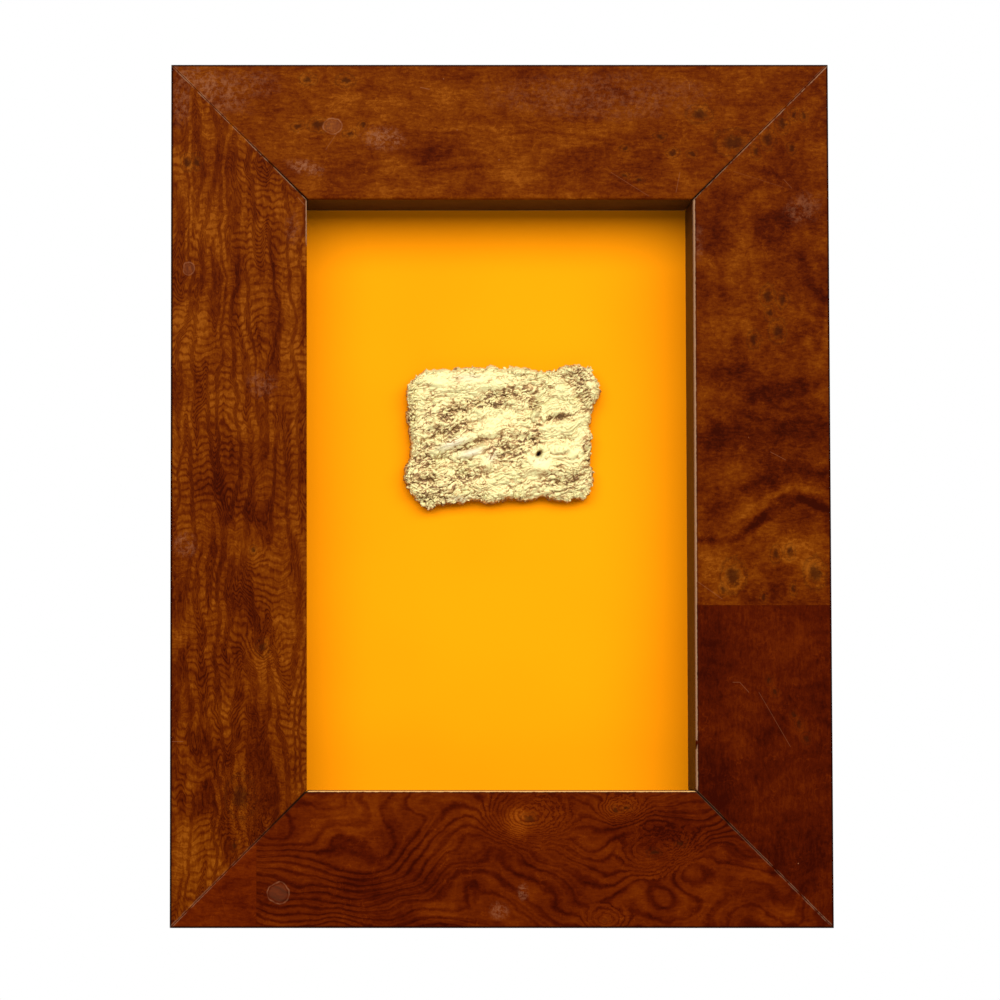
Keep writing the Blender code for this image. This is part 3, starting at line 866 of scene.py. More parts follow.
@dataclass(frozen=True)
class GoldFinish:
    """Pale native gold: painted light on the ridges and painted brown shade in the creases, troughs, pit and
    rim, with a few milky patches.
    """

    # Shaded and lit tones of the one gold, from painted shade deep in the creases to painted light on the
    # ridges.
    DEEP_SHADE = (0.130, 0.060, 0.014)
    CREASE_SHADE = (0.300, 0.158, 0.046)
    BODY = (0.535, 0.368, 0.148)
    RIDGE_LIGHT = (0.66, 0.572, 0.255)
    MILKY = (0.70, 0.60, 0.44)
    # near-black painted shade inside the pit
    PIT_SHADE = (0.012, 0.004, 0.012)
    GRAIN_TILT = 17.0
    LEVEL = 0.73
    MEAN_PAINTED_SHADING = 0.57

    def material(self) -> bpy.types.Material:
        """Mix the gold from the painted shading of hollows and ridges that the mesh carries.

        Returns:
            The material.
        """
        recipe = Recipe("crinkled_gold")
        place = recipe.place()
        painted_shading = recipe.attribute("painted_shading")
        milky = recipe.attribute("milky")
        pit_shade = recipe.attribute("pit_shade")
        turned = recipe.node("ShaderNodeVectorRotate", {"rotation_type": "Y_AXIS"},
                             {"Vector": place, "Angle": math.radians(self.GRAIN_TILT)})
        grain = recipe.vector("MULTIPLY", recipe.warp(turned, 0.5, 1.2), Vector((0.22, 1, 1)))
        streak = recipe.noise(grain, 1.9, 3.0, 0.6)
        speck = recipe.noise(recipe.warp(place, 0.8, 0.8), 1.7, 3.0, 0.6)
        # brown is painted shade over the troughs and along the rim
        brown = recipe.attribute("brown")
        edges, flake_highlights = self._painted_flake_shading(recipe, turned)
        busy = brown * 0.7 + recipe.noise(place, 0.30, 2.0).ramp(0.40, 0.60) * 0.45
        # The level is painted light and shade: raised on ridges, lowered in hollows, on downward slopes, in
        # the brown shade and at flake edges.
        level = self.LEVEL + (painted_shading - self.MEAN_PAINTED_SHADING) * 0.72 - brown * 0.31 + (speck - 0.5) * 0.22
        level = level + (streak - 0.5) * (brown * 0.6 + 0.25)
        # painted shadow at flake edges and painted highlights beside them
        level = level - edges * (busy * 0.34 + 0.10) + flake_highlights * busy * 0.40
        colour = recipe.stops(level, (0.02, self.DEEP_SHADE), (0.28, self.CREASE_SHADE), (0.52, self.BODY),
                              (0.70, self.RIDGE_LIGHT))
        pale = milky * level.ramp(0.25, 0.6)
        colour = recipe.blend(pale, colour, self.MILKY)
        # the pit painted near-black as shade
        colour = recipe.blend(pit_shade, colour, self.PIT_SHADE)
        roughness = 0.42 + speck * 0.18 + pale * 0.15
        metallic = (1.0 - pale * 0.6) * (1.0 - pit_shade) * 0.35
        normal = recipe.bump(streak + speck * 0.5, 0.05 * MM)
        return recipe.finish(colour, roughness, normal, metallic, specular=0.5)

    @staticmethod
    def _painted_flake_shading(recipe: Recipe, turned: Wire) -> tuple[Wire, Wire]:
        """Painted shadow along the edges of small flakes, and painted highlights beside them.

        Args:
            recipe: the material being mixed.
            turned: the place, turned so that the crust's grain runs along X.

        Returns:
            How dark the painted edge shadow and how bright the painted highlights are, each from 0 to 1.
        """
        edges: Value = 0.0
        flake_highlights: Value = 0.0
        bent = recipe.warp(recipe.warp(turned, 0.35, 2.2), 1.2, 0.7)
        for scale, squeeze in ((0.50, 0.40), (0.80, 0.60)):
            field = recipe.noise(recipe.vector("MULTIPLY", bent, Vector((squeeze, 1, 1))), scale, 1.5, 0.5)
            steps = (field * (math.tau * 4.0)).sine()
            edges = steps.ramp(-0.60, -0.97).most(edges)
            flake_highlights = steps.ramp(0.50, 0.97).most(flake_highlights)
        return edges, flake_highlights


@dataclass(frozen=True)
class HardboardFinish:
    """Pressed brown fibre, smooth and slightly mottled."""

    FIBRE = (0.170, 0.088, 0.043)
    DARK_FIBRE = (0.085, 0.040, 0.018)
    PALE_FIBRE = (0.29, 0.18, 0.10)

    def material(self) -> bpy.types.Material:
        """Mix short fibres of three browns.

        Returns:
            The material.
        """
        recipe = Recipe("hardboard")
        place = recipe.place()
        tangle = recipe.warp(place, 0.5, 3.0, 2.0)
        fibre = recipe.noise(tangle, 2.2, 5.0, 0.75)
        cloud = recipe.noise(place, 0.06, 2.0)
        colour = recipe.stops(fibre * 0.8 + cloud * 0.2, (0.3, self.DARK_FIBRE), (0.5, self.FIBRE),
                              (0.72, self.PALE_FIBRE))
        return recipe.finish(colour, 0.72, recipe.bump(fibre, 0.04 * MM), specular=0.3)


@dataclass(frozen=True)
class MetalFinish:
    """Rolled strip metal with fine scratches along it and dull spots."""

    name: str
    colour: Colour
    tarnish: Colour
    roughness: float = 0.32

    def material(self) -> bpy.types.Material:
        """Mix clean and dulled metal.

        Returns:
            The material.
        """
        recipe = Recipe(self.name)
        place = recipe.place()
        streak = recipe.noise(recipe.vector("MULTIPLY", place, Vector((0.15, 1, 1))), 6.0, 3.0, 0.7)
        spot = recipe.noise(place, 0.55, 4.0, 0.65)
        dull = spot.ramp(0.5, 0.72)
        colour = recipe.blend(dull * 0.7, self.colour, self.tarnish)
        roughness = self.roughness + streak * 0.14 + dull * 0.2
        return recipe.finish(colour, roughness, recipe.bump(streak, 0.008 * MM), 1.0 - dull * 0.25)


@dataclass(frozen=True)
class GlueFinish:
    """Old dark glue, uneven and slightly glossy."""

    DARK = (0.020, 0.0060, 0.0018)
    LIGHT = (0.050, 0.020, 0.0070)

    def material(self) -> bpy.types.Material:
        """Mix the glue's two browns over small lumps.

        Returns:
            The material.
        """
        recipe = Recipe("mitre_glue")
        lumps = recipe.noise(recipe.place(), 1.2, 3.0, 0.6)
        colour = recipe.blend(lumps.ramp(0.35, 0.7), self.DARK, self.LIGHT)
        return recipe.finish(colour, 0.35 + lumps * 0.25, recipe.bump(lumps, 0.04 * MM), specular=0.2)


@dataclass(frozen=True)
class PadFinish:
    """Dark grey felt of matted fibres."""

    DARK = (0.022, 0.022, 0.024)
    PALE = (0.085, 0.084, 0.082)

    def material(self) -> bpy.types.Material:
        """Mix two greys of matted fibre.

        Returns:
            The material.
        """
        recipe = Recipe("felt_pad")
        place = recipe.place()
        fibre = recipe.noise(recipe.warp(place, 1.2, 1.6, 2.0), 3.0, 5.0, 0.75)
        colour = recipe.blend(fibre.ramp(0.35, 0.7), self.DARK, self.PALE)
        return recipe.finish(colour, 0.95, recipe.bump(fibre, 0.15 * MM), specular=0.1)


def mesh_object(name: str, points: np.ndarray, faces: Iterable[Sequence[int]]) -> bpy.types.Object:
    """Make an object at the origin from points and faces, smooth but for its sharp corners.

    Args:
        name: the object's name.
        points: its points, one to a row.
        faces: the numbers of each face's points.

    Returns:
        The object.
    """
    mesh = bpy.data.meshes.new(name)
    mesh.from_pydata([tuple(p) for p in points.tolist()], [], [tuple(f) for f in faces])
    mesh.validate()
    mesh.shade_smooth()
    made = bpy.data.objects.new(name, mesh)
    bpy.context.collection.objects.link(made)
    return made


def closed_sheet(name: str, rings: np.ndarray, skirts: Sequence[np.ndarray]) -> bpy.types.Object:
    """Make a closed solid from a grid of front points and the rings that run in behind it.

    Args:
        name: the object's name.
        rings: rows by columns by 3, the front, seen with rows going up and columns to the right.
        skirts: rings of points behind the front's border, each in the border's order.

    Returns:
        The object, its faces outward.
    """
    rows, columns = rings.shape[:2]
    number = np.arange(rows * columns).reshape(rows, columns)
    quads = np.stack((number[:-1, :-1], number[:-1, 1:], number[1:, 1:], number[1:, :-1]), -1).reshape(-1, 4)
    border = border_of(number)
    faces = quads.tolist()
    points = [rings.reshape(-1, 3)]
    outer, start = border, rows * columns
    for skirt in skirts:
        inner = start + np.arange(len(border))
        start += len(border)
        points.append(skirt)
        after_outer, after_inner = np.roll(outer, -1), np.roll(inner, -1)
        faces += np.stack((outer, inner, after_inner, after_outer), -1).tolist()
        outer = inner
    faces.append(outer[::-1].tolist())
    made = mesh_object(name, np.concatenate(points), faces)
    point_outward(made)
    return made


def border_of(grid: np.ndarray) -> np.ndarray:
    """The border of a grid, once round, from its first corner along its first row."""
    return np.concatenate((grid[0, :-1], grid[:-1, -1], grid[-1, :0:-1], grid[:0:-1, 0]))


def point_outward(item: bpy.types.Object) -> None:
    """Turn a closed mesh's faces outward.

    Args:
        item: the object that has the mesh.
    """
    bm = bmesh.new()
    bm.from_mesh(item.data)
    bmesh.ops.recalc_face_normals(bm, faces=bm.faces)
    bm.to_mesh(item.data)
    bm.free()


def settle(piece: bpy.types.Object, replaced: Sequence[str] = ()) -> bpy.types.Object:
    """Ride a finished piece on the frame's body, and hide the CAD nodes it stands for.

    Args:
        piece: the piece.
        replaced: the CAD nodes it stands for.

    Returns:
        The same piece.
    """
    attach(piece, BODY)
    if replaced:
        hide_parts(*replaced)
    LOG.info("%s: %d points, %d faces", piece.name, len(piece.data.vertices), len(piece.data.polygons))
    return piece


@dataclass(frozen=True)
class Copies:
    """Copies of one small piece, stood at places by Geometry Nodes and turned into a plain mesh."""

    name: str
    slot: str
    replaced: tuple[str, ...] = ()
    tumble: float = 0.0
    size_spread: float = 0.0
    seed: int = 11

    def build(self, piece: bpy.types.Object, spots: Sequence[Vector], turns: Sequence[float],
              finish: bpy.types.Material) -> bpy.types.Object:
        """Stand the copies.

        Args:
            piece: what is copied, about the origin; it is used up.
            spots: where each copy stands.
            turns: how far each copy is turned about Y, in radians.
            finish: the material of the copies.

        Returns:
            One plain mesh of all the copies.
        """
        carrier = mesh_object(self.name + "_spots", np.array(spots), [])
        carrier.data.attributes.new("turn", "FLOAT", "POINT").data.foreach_set("value", turns)
        modifier = carrier.modifiers.new("copies", "NODES")
        modifier.node_group = tree = self._tree()
        inputs = {"Piece": piece, "Tumble": self.tumble, "Size Spread": self.size_spread, "Seed": self.seed,
                  "Finish": finish}
        for item in tree.interface.items_tree:
            if item.in_out == "INPUT" and item.name in inputs:
                modifier[item.identifier] = inputs[item.name]
        view = bpy.context.evaluated_depsgraph_get()
        made = bpy.data.objects.new(self.name, bpy.data.meshes.new_from_object(carrier.evaluated_get(view)))
        bpy.context.collection.objects.link(made)
        for used in (carrier, piece):
            bpy.data.objects.remove(used)
        point_outward(made)
        return settle(made, self.replaced)

    @staticmethod
    def _tree() -> bpy.types.NodeTree:
        """Instances on points, turned and sized, then realized and given their finish.

        Returns:
            The tree.
        """
        tree = bpy.data.node_groups.new("stand_copies", "GeometryNodeTree")
        for name, kind in (("Geometry", "Geometry"), ("Piece", "Object"), ("Tumble", "Float"),
                           ("Size Spread", "Float"), ("Seed", "Int"), ("Finish", "Material")):
            tree.interface.new_socket(name, in_out="INPUT", socket_type="NodeSocket" + kind)
        tree.interface.new_socket("Geometry", in_out="OUTPUT", socket_type="NodeSocketGeometry")

        def add(kind: str, links: dict, output: str | int = 0, **settings: str) -> bpy.types.NodeSocket:
            """Add a node with its settings and its sockets, and hand back one output.

            Args:
                kind: the node's type.
                links: its inputs, each a socket or a constant.
                output: which output to hand back.
                settings: the node's properties.

            Returns:
                The output.
            """
            node = tree.nodes.new(kind)
            for key, value in settings.items():
                setattr(node, key, value)
            for key, value in links.items():
                if isinstance(value, bpy.types.NodeSocket):
                    tree.links.new(value, node.inputs[key])
                else:
                    node.inputs[key].default_value = value
            return node.outputs[output]

        given = tree.nodes.new("NodeGroupInput").outputs
        turn = add("GeometryNodeInputNamedAttribute", {"Name": "turn"}, "Attribute", data_type="FLOAT")
        upright = add("ShaderNodeCombineXYZ", {1: turn})
        wide = add("ShaderNodeVectorMath", {0: (1, 1, 1), 3: given["Tumble"]}, operation="SCALE")
        narrow = add("ShaderNodeVectorMath", {0: (-1, -1, -1), 3: given["Tumble"]}, operation="SCALE")
        tumbled = add("FunctionNodeRandomValue", {0: narrow, 1: wide, 8: given["Seed"]},
                      data_type="FLOAT_VECTOR")
        facing = add("ShaderNodeVectorMath", {0: upright, 1: tumbled}, operation="ADD")
        least = add("ShaderNodeMath", {0: 1.0, 1: given["Size Spread"]}, operation="SUBTRACT")
        most = add("ShaderNodeMath", {0: 1.0, 1: given["Size Spread"]}, operation="ADD")
        size = add("FunctionNodeRandomValue", {2: least, 3: most, 8: given["Seed"]}, 1, data_type="FLOAT")
        piece = add("GeometryNodeObjectInfo", {0: given["Piece"], 1: True}, "Geometry")
        stood = add("GeometryNodeInstanceOnPoints", {"Points": given["Geometry"], "Instance": piece,
                                                     "Rotation": facing, "Scale": size})
        real = add("GeometryNodeRealizeInstances", {0: stood})
        dressed = add("GeometryNodeSetMaterial", {"Geometry": real, "Material": given["Finish"]})
        tree.links.new(dressed, tree.nodes.new("NodeGroupOutput").inputs[0])
        return tree


def slab(name: str, outline: Sequence[Pixel], low_y: float, high_y: float, ease: float) -> bpy.types.Object:
    """Make a flat piece from its outline in X and Z.

    Args:
        name: the object's name.
        outline: the corners, in metres.
        low_y: where its front lies.
        high_y: where its back lies.
        ease: how wide its edges are bevelled.

    Returns:
        The piece.
    """
    bm = bmesh.new()
    base = bm.faces.new([bm.verts.new((x, low_y, z)) for x, z in outline])
    raised = bmesh.ops.extrude_face_region(bm, geom=[base])["geom"]
    bmesh.ops.translate(bm, verts=[v for v in raised if isinstance(v, bmesh.types.BMVert)],
                        vec=(0, high_y - low_y, 0))
    bmesh.ops.bevel(bm, geom=bm.edges[:], offset=ease, segments=2, profile=0.5, affect="EDGES")
    bmesh.ops.recalc_face_normals(bm, faces=bm.faces)
    mesh = bpy.data.meshes.new(name)
    bm.to_mesh(mesh)
    bm.free()
    made = bpy.data.objects.new(name, mesh)
    bpy.context.collection.objects.link(made)
    return made


@dataclass(frozen=True)
class GlueLines:
    """The dark glue that fills the four mitres in front of the rabbet."""

    thickness: float = 0.24 * MM
    inset: float = 0.3 * MM
    front_y: float = -22.6 * MM
    back_y: float = -8.6 * MM
    spread: float = 0.05 * MM

    def build(self, plan: FramePlan) -> bpy.types.Object:
        """Stand one sheet of glue in each mitre, from the sight edge to the outer corner.

        Args:
            plan: the frame's main lines.

        Returns:
            The sheets, as one mesh.
        """
        length = plan.width * math.sqrt(2) - 2 * self.inset
        half, thick = length / 2, self.thickness / 2
        outline = ((-thick, -half), (thick, -half), (thick, half), (-thick, half))
        depth = (self.back_y - self.front_y) / 2
        sheet = slab("glue_sheet", outline, -depth, depth, self.spread)
        centre = Vector((plan.middle.x, (self.front_y + self.back_y) / 2, plan.middle.z))
        reach_x = (plan.high.x - plan.low.x - plan.width) / 2
        reach_z = (plan.high.z - plan.low.z - plan.width) / 2
        corners = ((1, 1), (1, -1), (-1, -1), (-1, 1))
        spots = [centre + Vector((sx * reach_x, 0, sz * reach_z)) for sx, sz in corners]
        turns = [sx * sz * math.pi / 4 for sx, sz in corners]
        return Copies("mitre_glue", "stained_wood").build(sheet, spots, turns, GlueFinish().material())


@dataclass(frozen=True)
class FramerPoints:
    """The six flat steel points that hold board and panel in the rabbet."""

    tip: float = 4.0 * MM
    ease: float = 0.10 * MM
    nodes: tuple[str, ...] = tuple(f"framer_point_{number}" for number in range(1, 7))

    def build(self, plan: FramePlan, finish: bpy.types.Material) -> bpy.types.Object:
        """Make one point with its tip up, and stand a copy at every CAD point.

        Args:
            plan: the frame's main lines.
            finish: the steel.

        Returns:
            The points, as one mesh.
        """
        low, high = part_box(self.nodes[0])
        length, half = high.z - low.z, (high.x - low.x) / 2
        outline = ((0, length / 2), (half, length / 2 - self.tip), (half, -length / 2), (-half, -length / 2),
                   (-half, length / 2 - self.tip))
        depth = (high.y - low.y) / 2
        point = slab("framer_point", outline, -depth, depth, self.ease)
        spots, turns = [], []
        for node in self.nodes:
            low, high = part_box(node)
            spot = (low + high) / 2
            outward = spot - plan.middle
            upright = high.z - low.z > high.x - low.x
            spots.append(spot)
            standing, lying = 0.0 if outward.z > 0 else math.pi, math.copysign(math.pi / 2, outward.x)
            turns.append(standing if upright else lying)
        return Copies("framer_points", "steel", self.nodes).build(point, spots, turns, finish)


@dataclass(frozen=True)
class CornerNails:
    """The eight V-shaped nails across the mitres, seen from behind."""

    thickness: float = 0.6 * MM
    ease: float = 0.08 * MM
    nodes: tuple[str, ...] = tuple(f"corner_nail_{number}" for number in range(1, 9))
    turns: tuple[tuple[tuple[int, int], float], ...] = (
        ((-1, -1), 0.0), ((1, -1), -math.pi / 2), ((1, 1), math.pi), ((-1, 1), math.pi / 2))

    def build(self, plan: FramePlan, finish: bpy.types.Material) -> bpy.types.Object:
        """Make one nail with its legs right and up, and stand a copy at every CAD nail.

        Args:
            plan: the frame's main lines.
            finish: the steel.

        Returns:
            The nails, as one mesh.
        """
        low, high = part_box(self.nodes[0])
        half, leg = self.thickness / 2, high.x - low.x - self.thickness / 2
        outline = ((-half, -half), (leg, -half), (leg, half), (half, half), (half, leg), (-half, leg))
        depth = (high.y - low.y) / 2
        nail = slab("corner_nail", outline, -depth, depth, self.ease)
        spots, turns = [], []
        for node in self.nodes:
            low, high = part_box(node)
            outward = (low + high) / 2 - plan.middle
            sides = int(math.copysign(1, outward.x)), int(math.copysign(1, outward.z))
            x = high.x - half if sides[0] > 0 else low.x + half
            z = high.z - half if sides[1] > 0 else low.z + half
            spots.append(Vector((x, (low.y + high.y) / 2, z)))
            turns.append(dict(self.turns)[sides])
        return Copies("corner_nails", "steel", self.nodes).build(nail, spots, turns, finish)


def dress_node(node: str, material: bpy.types.Material) -> None:
    """Give a CAD node a finish, and leave its mesh alone.

    Args:
        node: the node's name.
        material: the finish.
    """
    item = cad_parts[node]
    if not item.data.materials:
        item.data.materials.append(material)
    for slot in item.material_slots:
        slot.material = material
    LOG.info("%s: dressed in %s", node, material.name)


@dataclass
class VeneerLeaf:
    """One leaf of veneer: its eased edges, its mitres and its square seam."""

    node: str
    side: Side
    finish: BurlFinish
    seam: float | None = None
    above_seam: bool = True
    step: float = 1.0 * MM
    ease: float = 0.42 * MM
    seam_gap: float = 0.012 * MM
    ease_rows: tuple[float, ...] = (0.0, 0.08, 0.22, 0.45, 0.75, 1.0)
    end_columns: tuple[float, ...] = (0.0, 0.06, 0.14, 0.4)
    sharp_degrees: float = 50.0

    def build(self, plan: FramePlan, scale: PhotoScale) -> bpy.types.Object:
        """Make the leaf's mesh and dress it.

        Args:
            plan: the frame's main lines.
            scale: the photograph's scale.

        Returns:
            The leaf.
        """
        across = self._rows(plan)
        low, high = self._ends(plan, across)
        share = self._columns(float((high - low).max()))
        along = low[:, None] + (high - low)[:, None] * share[None, :]
        front = np.empty((len(across), len(share), 3))
        for i, a in enumerate(across):
            for j, s in enumerate(along[i]):
                inset = min(a, plan.width - a)
                front[i, j] = plan.spot(self.side, a, s, plan.face_y + self._drop(inset))
        at_low, at_high = along - low[:, None], high[:, None] - along
        if self.seam is not None:
            at_low, at_high = (at_high, at_high) if self.above_seam else (at_low, at_low)
        front[:, :, 1] += self._end_drop(np.minimum(at_low, at_high))
        border = border_of(front)
        back = border.copy()
        back[:, 1] = plan.core_y
        leaf = closed_sheet(self.node + "_leaf", front, [back])
        leaf.data.set_sharp_from_angle(angle=math.radians(self.sharp_degrees))
        leaf.data.materials.append(self.finish.material(scale))
        return settle(leaf, [self.node])

    def _rows(self, plan: FramePlan) -> np.ndarray:
        """Distances in from the outer edge at which the leaf has points, close at its edges.

        Args:
            plan: the frame's main lines.

        Returns:
            The distances, rising.
        """
        near = np.array(self.ease_rows) * self.ease
        inner = np.arange(1.0 * MM, plan.width - 0.9 * MM, self.step)
        rows = np.concatenate((near, inner, plan.width - near[::-1]))
        if self.seam is not None and abs(self.seam) > plan.half_run(self.side) - plan.width:
            kink = plan.half_run(self.side) - abs(self.seam)
            rows = np.append(rows, kink)
            small = (self.seam < 0) != self.above_seam
            if small:
                rows = rows[rows <= kink - 0.2 * MM]
        return np.unique(rows.round(7))

    def _ends(self, plan: FramePlan, across: np.ndarray) -> tuple[np.ndarray, np.ndarray]:
        """Where each row starts and ends along the side.

        Args:
            plan: the frame's main lines.
            across: each row's distance in from the outer edge.

        Returns:
            The starts and the ends.
        """
        open_share = across / plan.width
        setback = (0.03 + 0.14 * open_share ** 2) * MM
        high = plan.half_run(self.side) - across - setback
        low = -high
        if self.seam is not None and self.above_seam:
            low = np.maximum(low, self.seam + self.seam_gap / 2)
        elif self.seam is not None:
            high = np.minimum(high, self.seam - self.seam_gap / 2)
        return low, high

    def _columns(self, length: float) -> np.ndarray:
        """Shares of a row's length at which it has points, close at its ends.

        Args:
            length: the longest row's length.

        Returns:
            The shares, from 0 to 1.
        """
        near = np.array(self.end_columns) * MM / length
        count = max(2, round(length / self.step))
        middle = np.linspace(near[-1], 1 - near[-1], count)[1:-1]
        return np.concatenate((near, middle, 1 - near[::-1]))

    def _drop(self, inset: float) -> float:
        """How far the face falls back at a distance in from a long edge.

        Args:
            inset: the distance in.

        Returns:
            The fall.
        """
        if inset >= self.ease:
            return 0.0
        return self.ease * (1 - math.sqrt(1 - (1 - inset / self.ease) ** 2))

    @staticmethod
    def _end_drop(inset: np.ndarray) -> np.ndarray:
        """How far the face falls back at a mitre or seam, where the corner is only just broken."""
        corner = 0.12 * MM
        return np.clip(1 - inset / corner, 0, 1) ** 2 * corner * 0.6


class Ripple:
    """Smooth repeatable noise over a plane, from about -1 to 1."""

    SIZE = 128
    GAIN = 1.5

    def __init__(self, seed: int) -> None:
        """Draw the slopes of the lattice."""
        turn = np.random.default_rng(seed).uniform(0, math.tau, (self.SIZE, self.SIZE))
        self.slopes = np.stack((np.cos(turn), np.sin(turn)), -1)

    def __call__(self, x: np.ndarray, z: np.ndarray) -> np.ndarray:
        """The noise at places in the plane.

        Args:
            x: places across.
            z: places upward.

        Returns:
            The noise at each place.
        """
        column, row = np.floor(x).astype(int), np.floor(z).astype(int)
        fx, fz = x - column, z - row
        ease_x, ease_z = fx ** 3 * (fx * (fx * 6 - 15) + 10), fz ** 3 * (fz * (fz * 6 - 15) + 10)

        def corner(i: int, j: int) -> np.ndarray:
            """The pull of one corner of the lattice cell."""
            slope = self.slopes[(row + j) % self.SIZE, (column + i) % self.SIZE]
            return slope[..., 0] * (fx - i) + slope[..., 1] * (fz - j)

        low = corner(0, 0) * (1 - ease_x) + corner(1, 0) * ease_x
        high = corner(0, 1) * (1 - ease_x) + corner(1, 1) * ease_x
        return self.GAIN * (low * (1 - ease_z) + high * ease_z)

    def crease(self, x: np.ndarray, z: np.ndarray, narrow: float = 2.2) -> np.ndarray:
        """Creases where the noise crosses 0: 1 along a crease, falling to 0 beside it."""
        return 1 - np.clip(np.abs(self(x, z)) * narrow, 0, 1)


@dataclass(frozen=True)
class Oval:
    """A soft oval patch of the crust: its middle, half-lengths and turn, in millimetres and degrees."""

    x: float
    z: float
    long: float
    short: float
    turn: float
    rise: float = 1.0

    def __call__(self, x: np.ndarray, z: np.ndarray) -> np.ndarray:
        """The rise in the middle of the patch, falling smoothly to 0.

        Args:
            x: places across, in millimetres from the crust's middle.
            z: places upward.

        Returns:
            The rise at each place.
        """
        angle = math.radians(self.turn)
        along = ((x - self.x) * math.cos(angle) + (z - self.z) * math.sin(angle)) / self.long
        across = ((z - self.z) * math.cos(angle) - (x - self.x) * math.sin(angle)) / self.short
        return self.rise * np.exp(-(along ** 2 + across ** 2))


def ovals(*rows: tuple[float, ...]) -> tuple[Oval, ...]:
    """Ovals from rows of their values in order."""
    return tuple(Oval(*row) for row in rows)


@dataclass(frozen=True)
class CrustOutline:
    """The four ragged sides of the crust, clockwise from the top left corner, in millimetres."""

    top: tuple[Pixel, ...] = (
        (-21.4, 15.1), (-18.3, 17.0), (-9.1, 17.5), (-5.0, 17.3), (-2.2, 18.2), (0.0, 17.4),
        (4.0, 17.8), (10.1, 16.6), (13.2, 17.0), (15.6, 18.1), (20.5, 18.1), (22.4, 16.6))
    right: tuple[Pixel, ...] = (
        (22.4, 16.6), (24.1, 14.0), (24.5, 11.5), (23.8, 9.2), (22.9, 7.6), (22.0, 2.8),
        (22.6, -0.2), (22.4, -7.2), (22.8, -9.5), (22.6, -12.4), (20.8, -15.6))
    bottom: tuple[Pixel, ...] = (
        (20.8, -15.6), (18.7, -15.1), (16.0, -16.0), (8.6, -15.2), (4.2, -16.0), (2.0, -15.2),
        (-2.8, -16.7), (-5.6, -15.9), (-11.4, -16.5), (-16.0, -17.0), (-17.3, -18.2), (-20.6, -16.4))
    left: tuple[Pixel, ...] = (
        (-20.6, -16.4), (-23.4, -12.6), (-24.5, -8.2), (-22.9, -5.2), (-22.7, 0.0), (-23.7, 5.0),
        (-23.3, 8.6), (-23.9, 11.6), (-21.4, 15.1))
    span: tuple[float, float] = (46.0, 34.0)

    @staticmethod
    def _along(points: Sequence[Pixel], t: np.ndarray) -> np.ndarray:
        """Places along a smooth curve through a list of points.

        Args:
            points: the curve's points.
            t: shares of the curve, from 0 to 1.

        Returns:
            A place for each share.
        """
        knots = np.array((points[0], *points, points[-1]))
        spot = np.minimum(t * (len(points) - 1), len(points) - 1 - 1e-9)
        i = spot.astype(int)
        f = (spot - i)[..., None]
        weights = (-0.5 * f + f ** 2 - 0.5 * f ** 3, 1 - 2.5 * f ** 2 + 1.5 * f ** 3,
                   0.5 * f + 2 * f ** 2 - 1.5 * f ** 3, -0.5 * f ** 2 + 0.5 * f ** 3)
        return sum(w * knots[i + k] for k, w in enumerate(weights))

    def grid(self, columns: int, rows: int) -> tuple[np.ndarray, np.ndarray, np.ndarray]:
        """Spread a grid between the four sides.

        Args:
            columns: how many cells it has across.
            rows: how many cells it has upward.

        Returns:
            The points' x and z, and their distance in from the rim.
        """
        u, v = np.meshgrid(np.linspace(0, 1, columns + 1), np.linspace(0, 1, rows + 1))
        edge = np.minimum(np.minimum(u, 1 - u) * self.span[0], np.minimum(v, 1 - v) * self.span[1])
        top, right = self._along(self.top, u), self._along(self.right, 1 - v)
        bottom, left = self._along(self.bottom, 1 - u), self._along(self.left, v)
        u, v = u[..., None], v[..., None]
        corners = (self.left[0], self.bottom[0], self.left[-1], self.top[-1])
        shares = ((1 - u) * (1 - v), u * (1 - v), (1 - u) * v, u * v)
        place = (1 - v) * bottom + v * top + (1 - u) * left + u * right
        place = place - sum(share * np.array(corner) for share, corner in zip(shares, corners))
        return place[..., 0], place[..., 1], edge


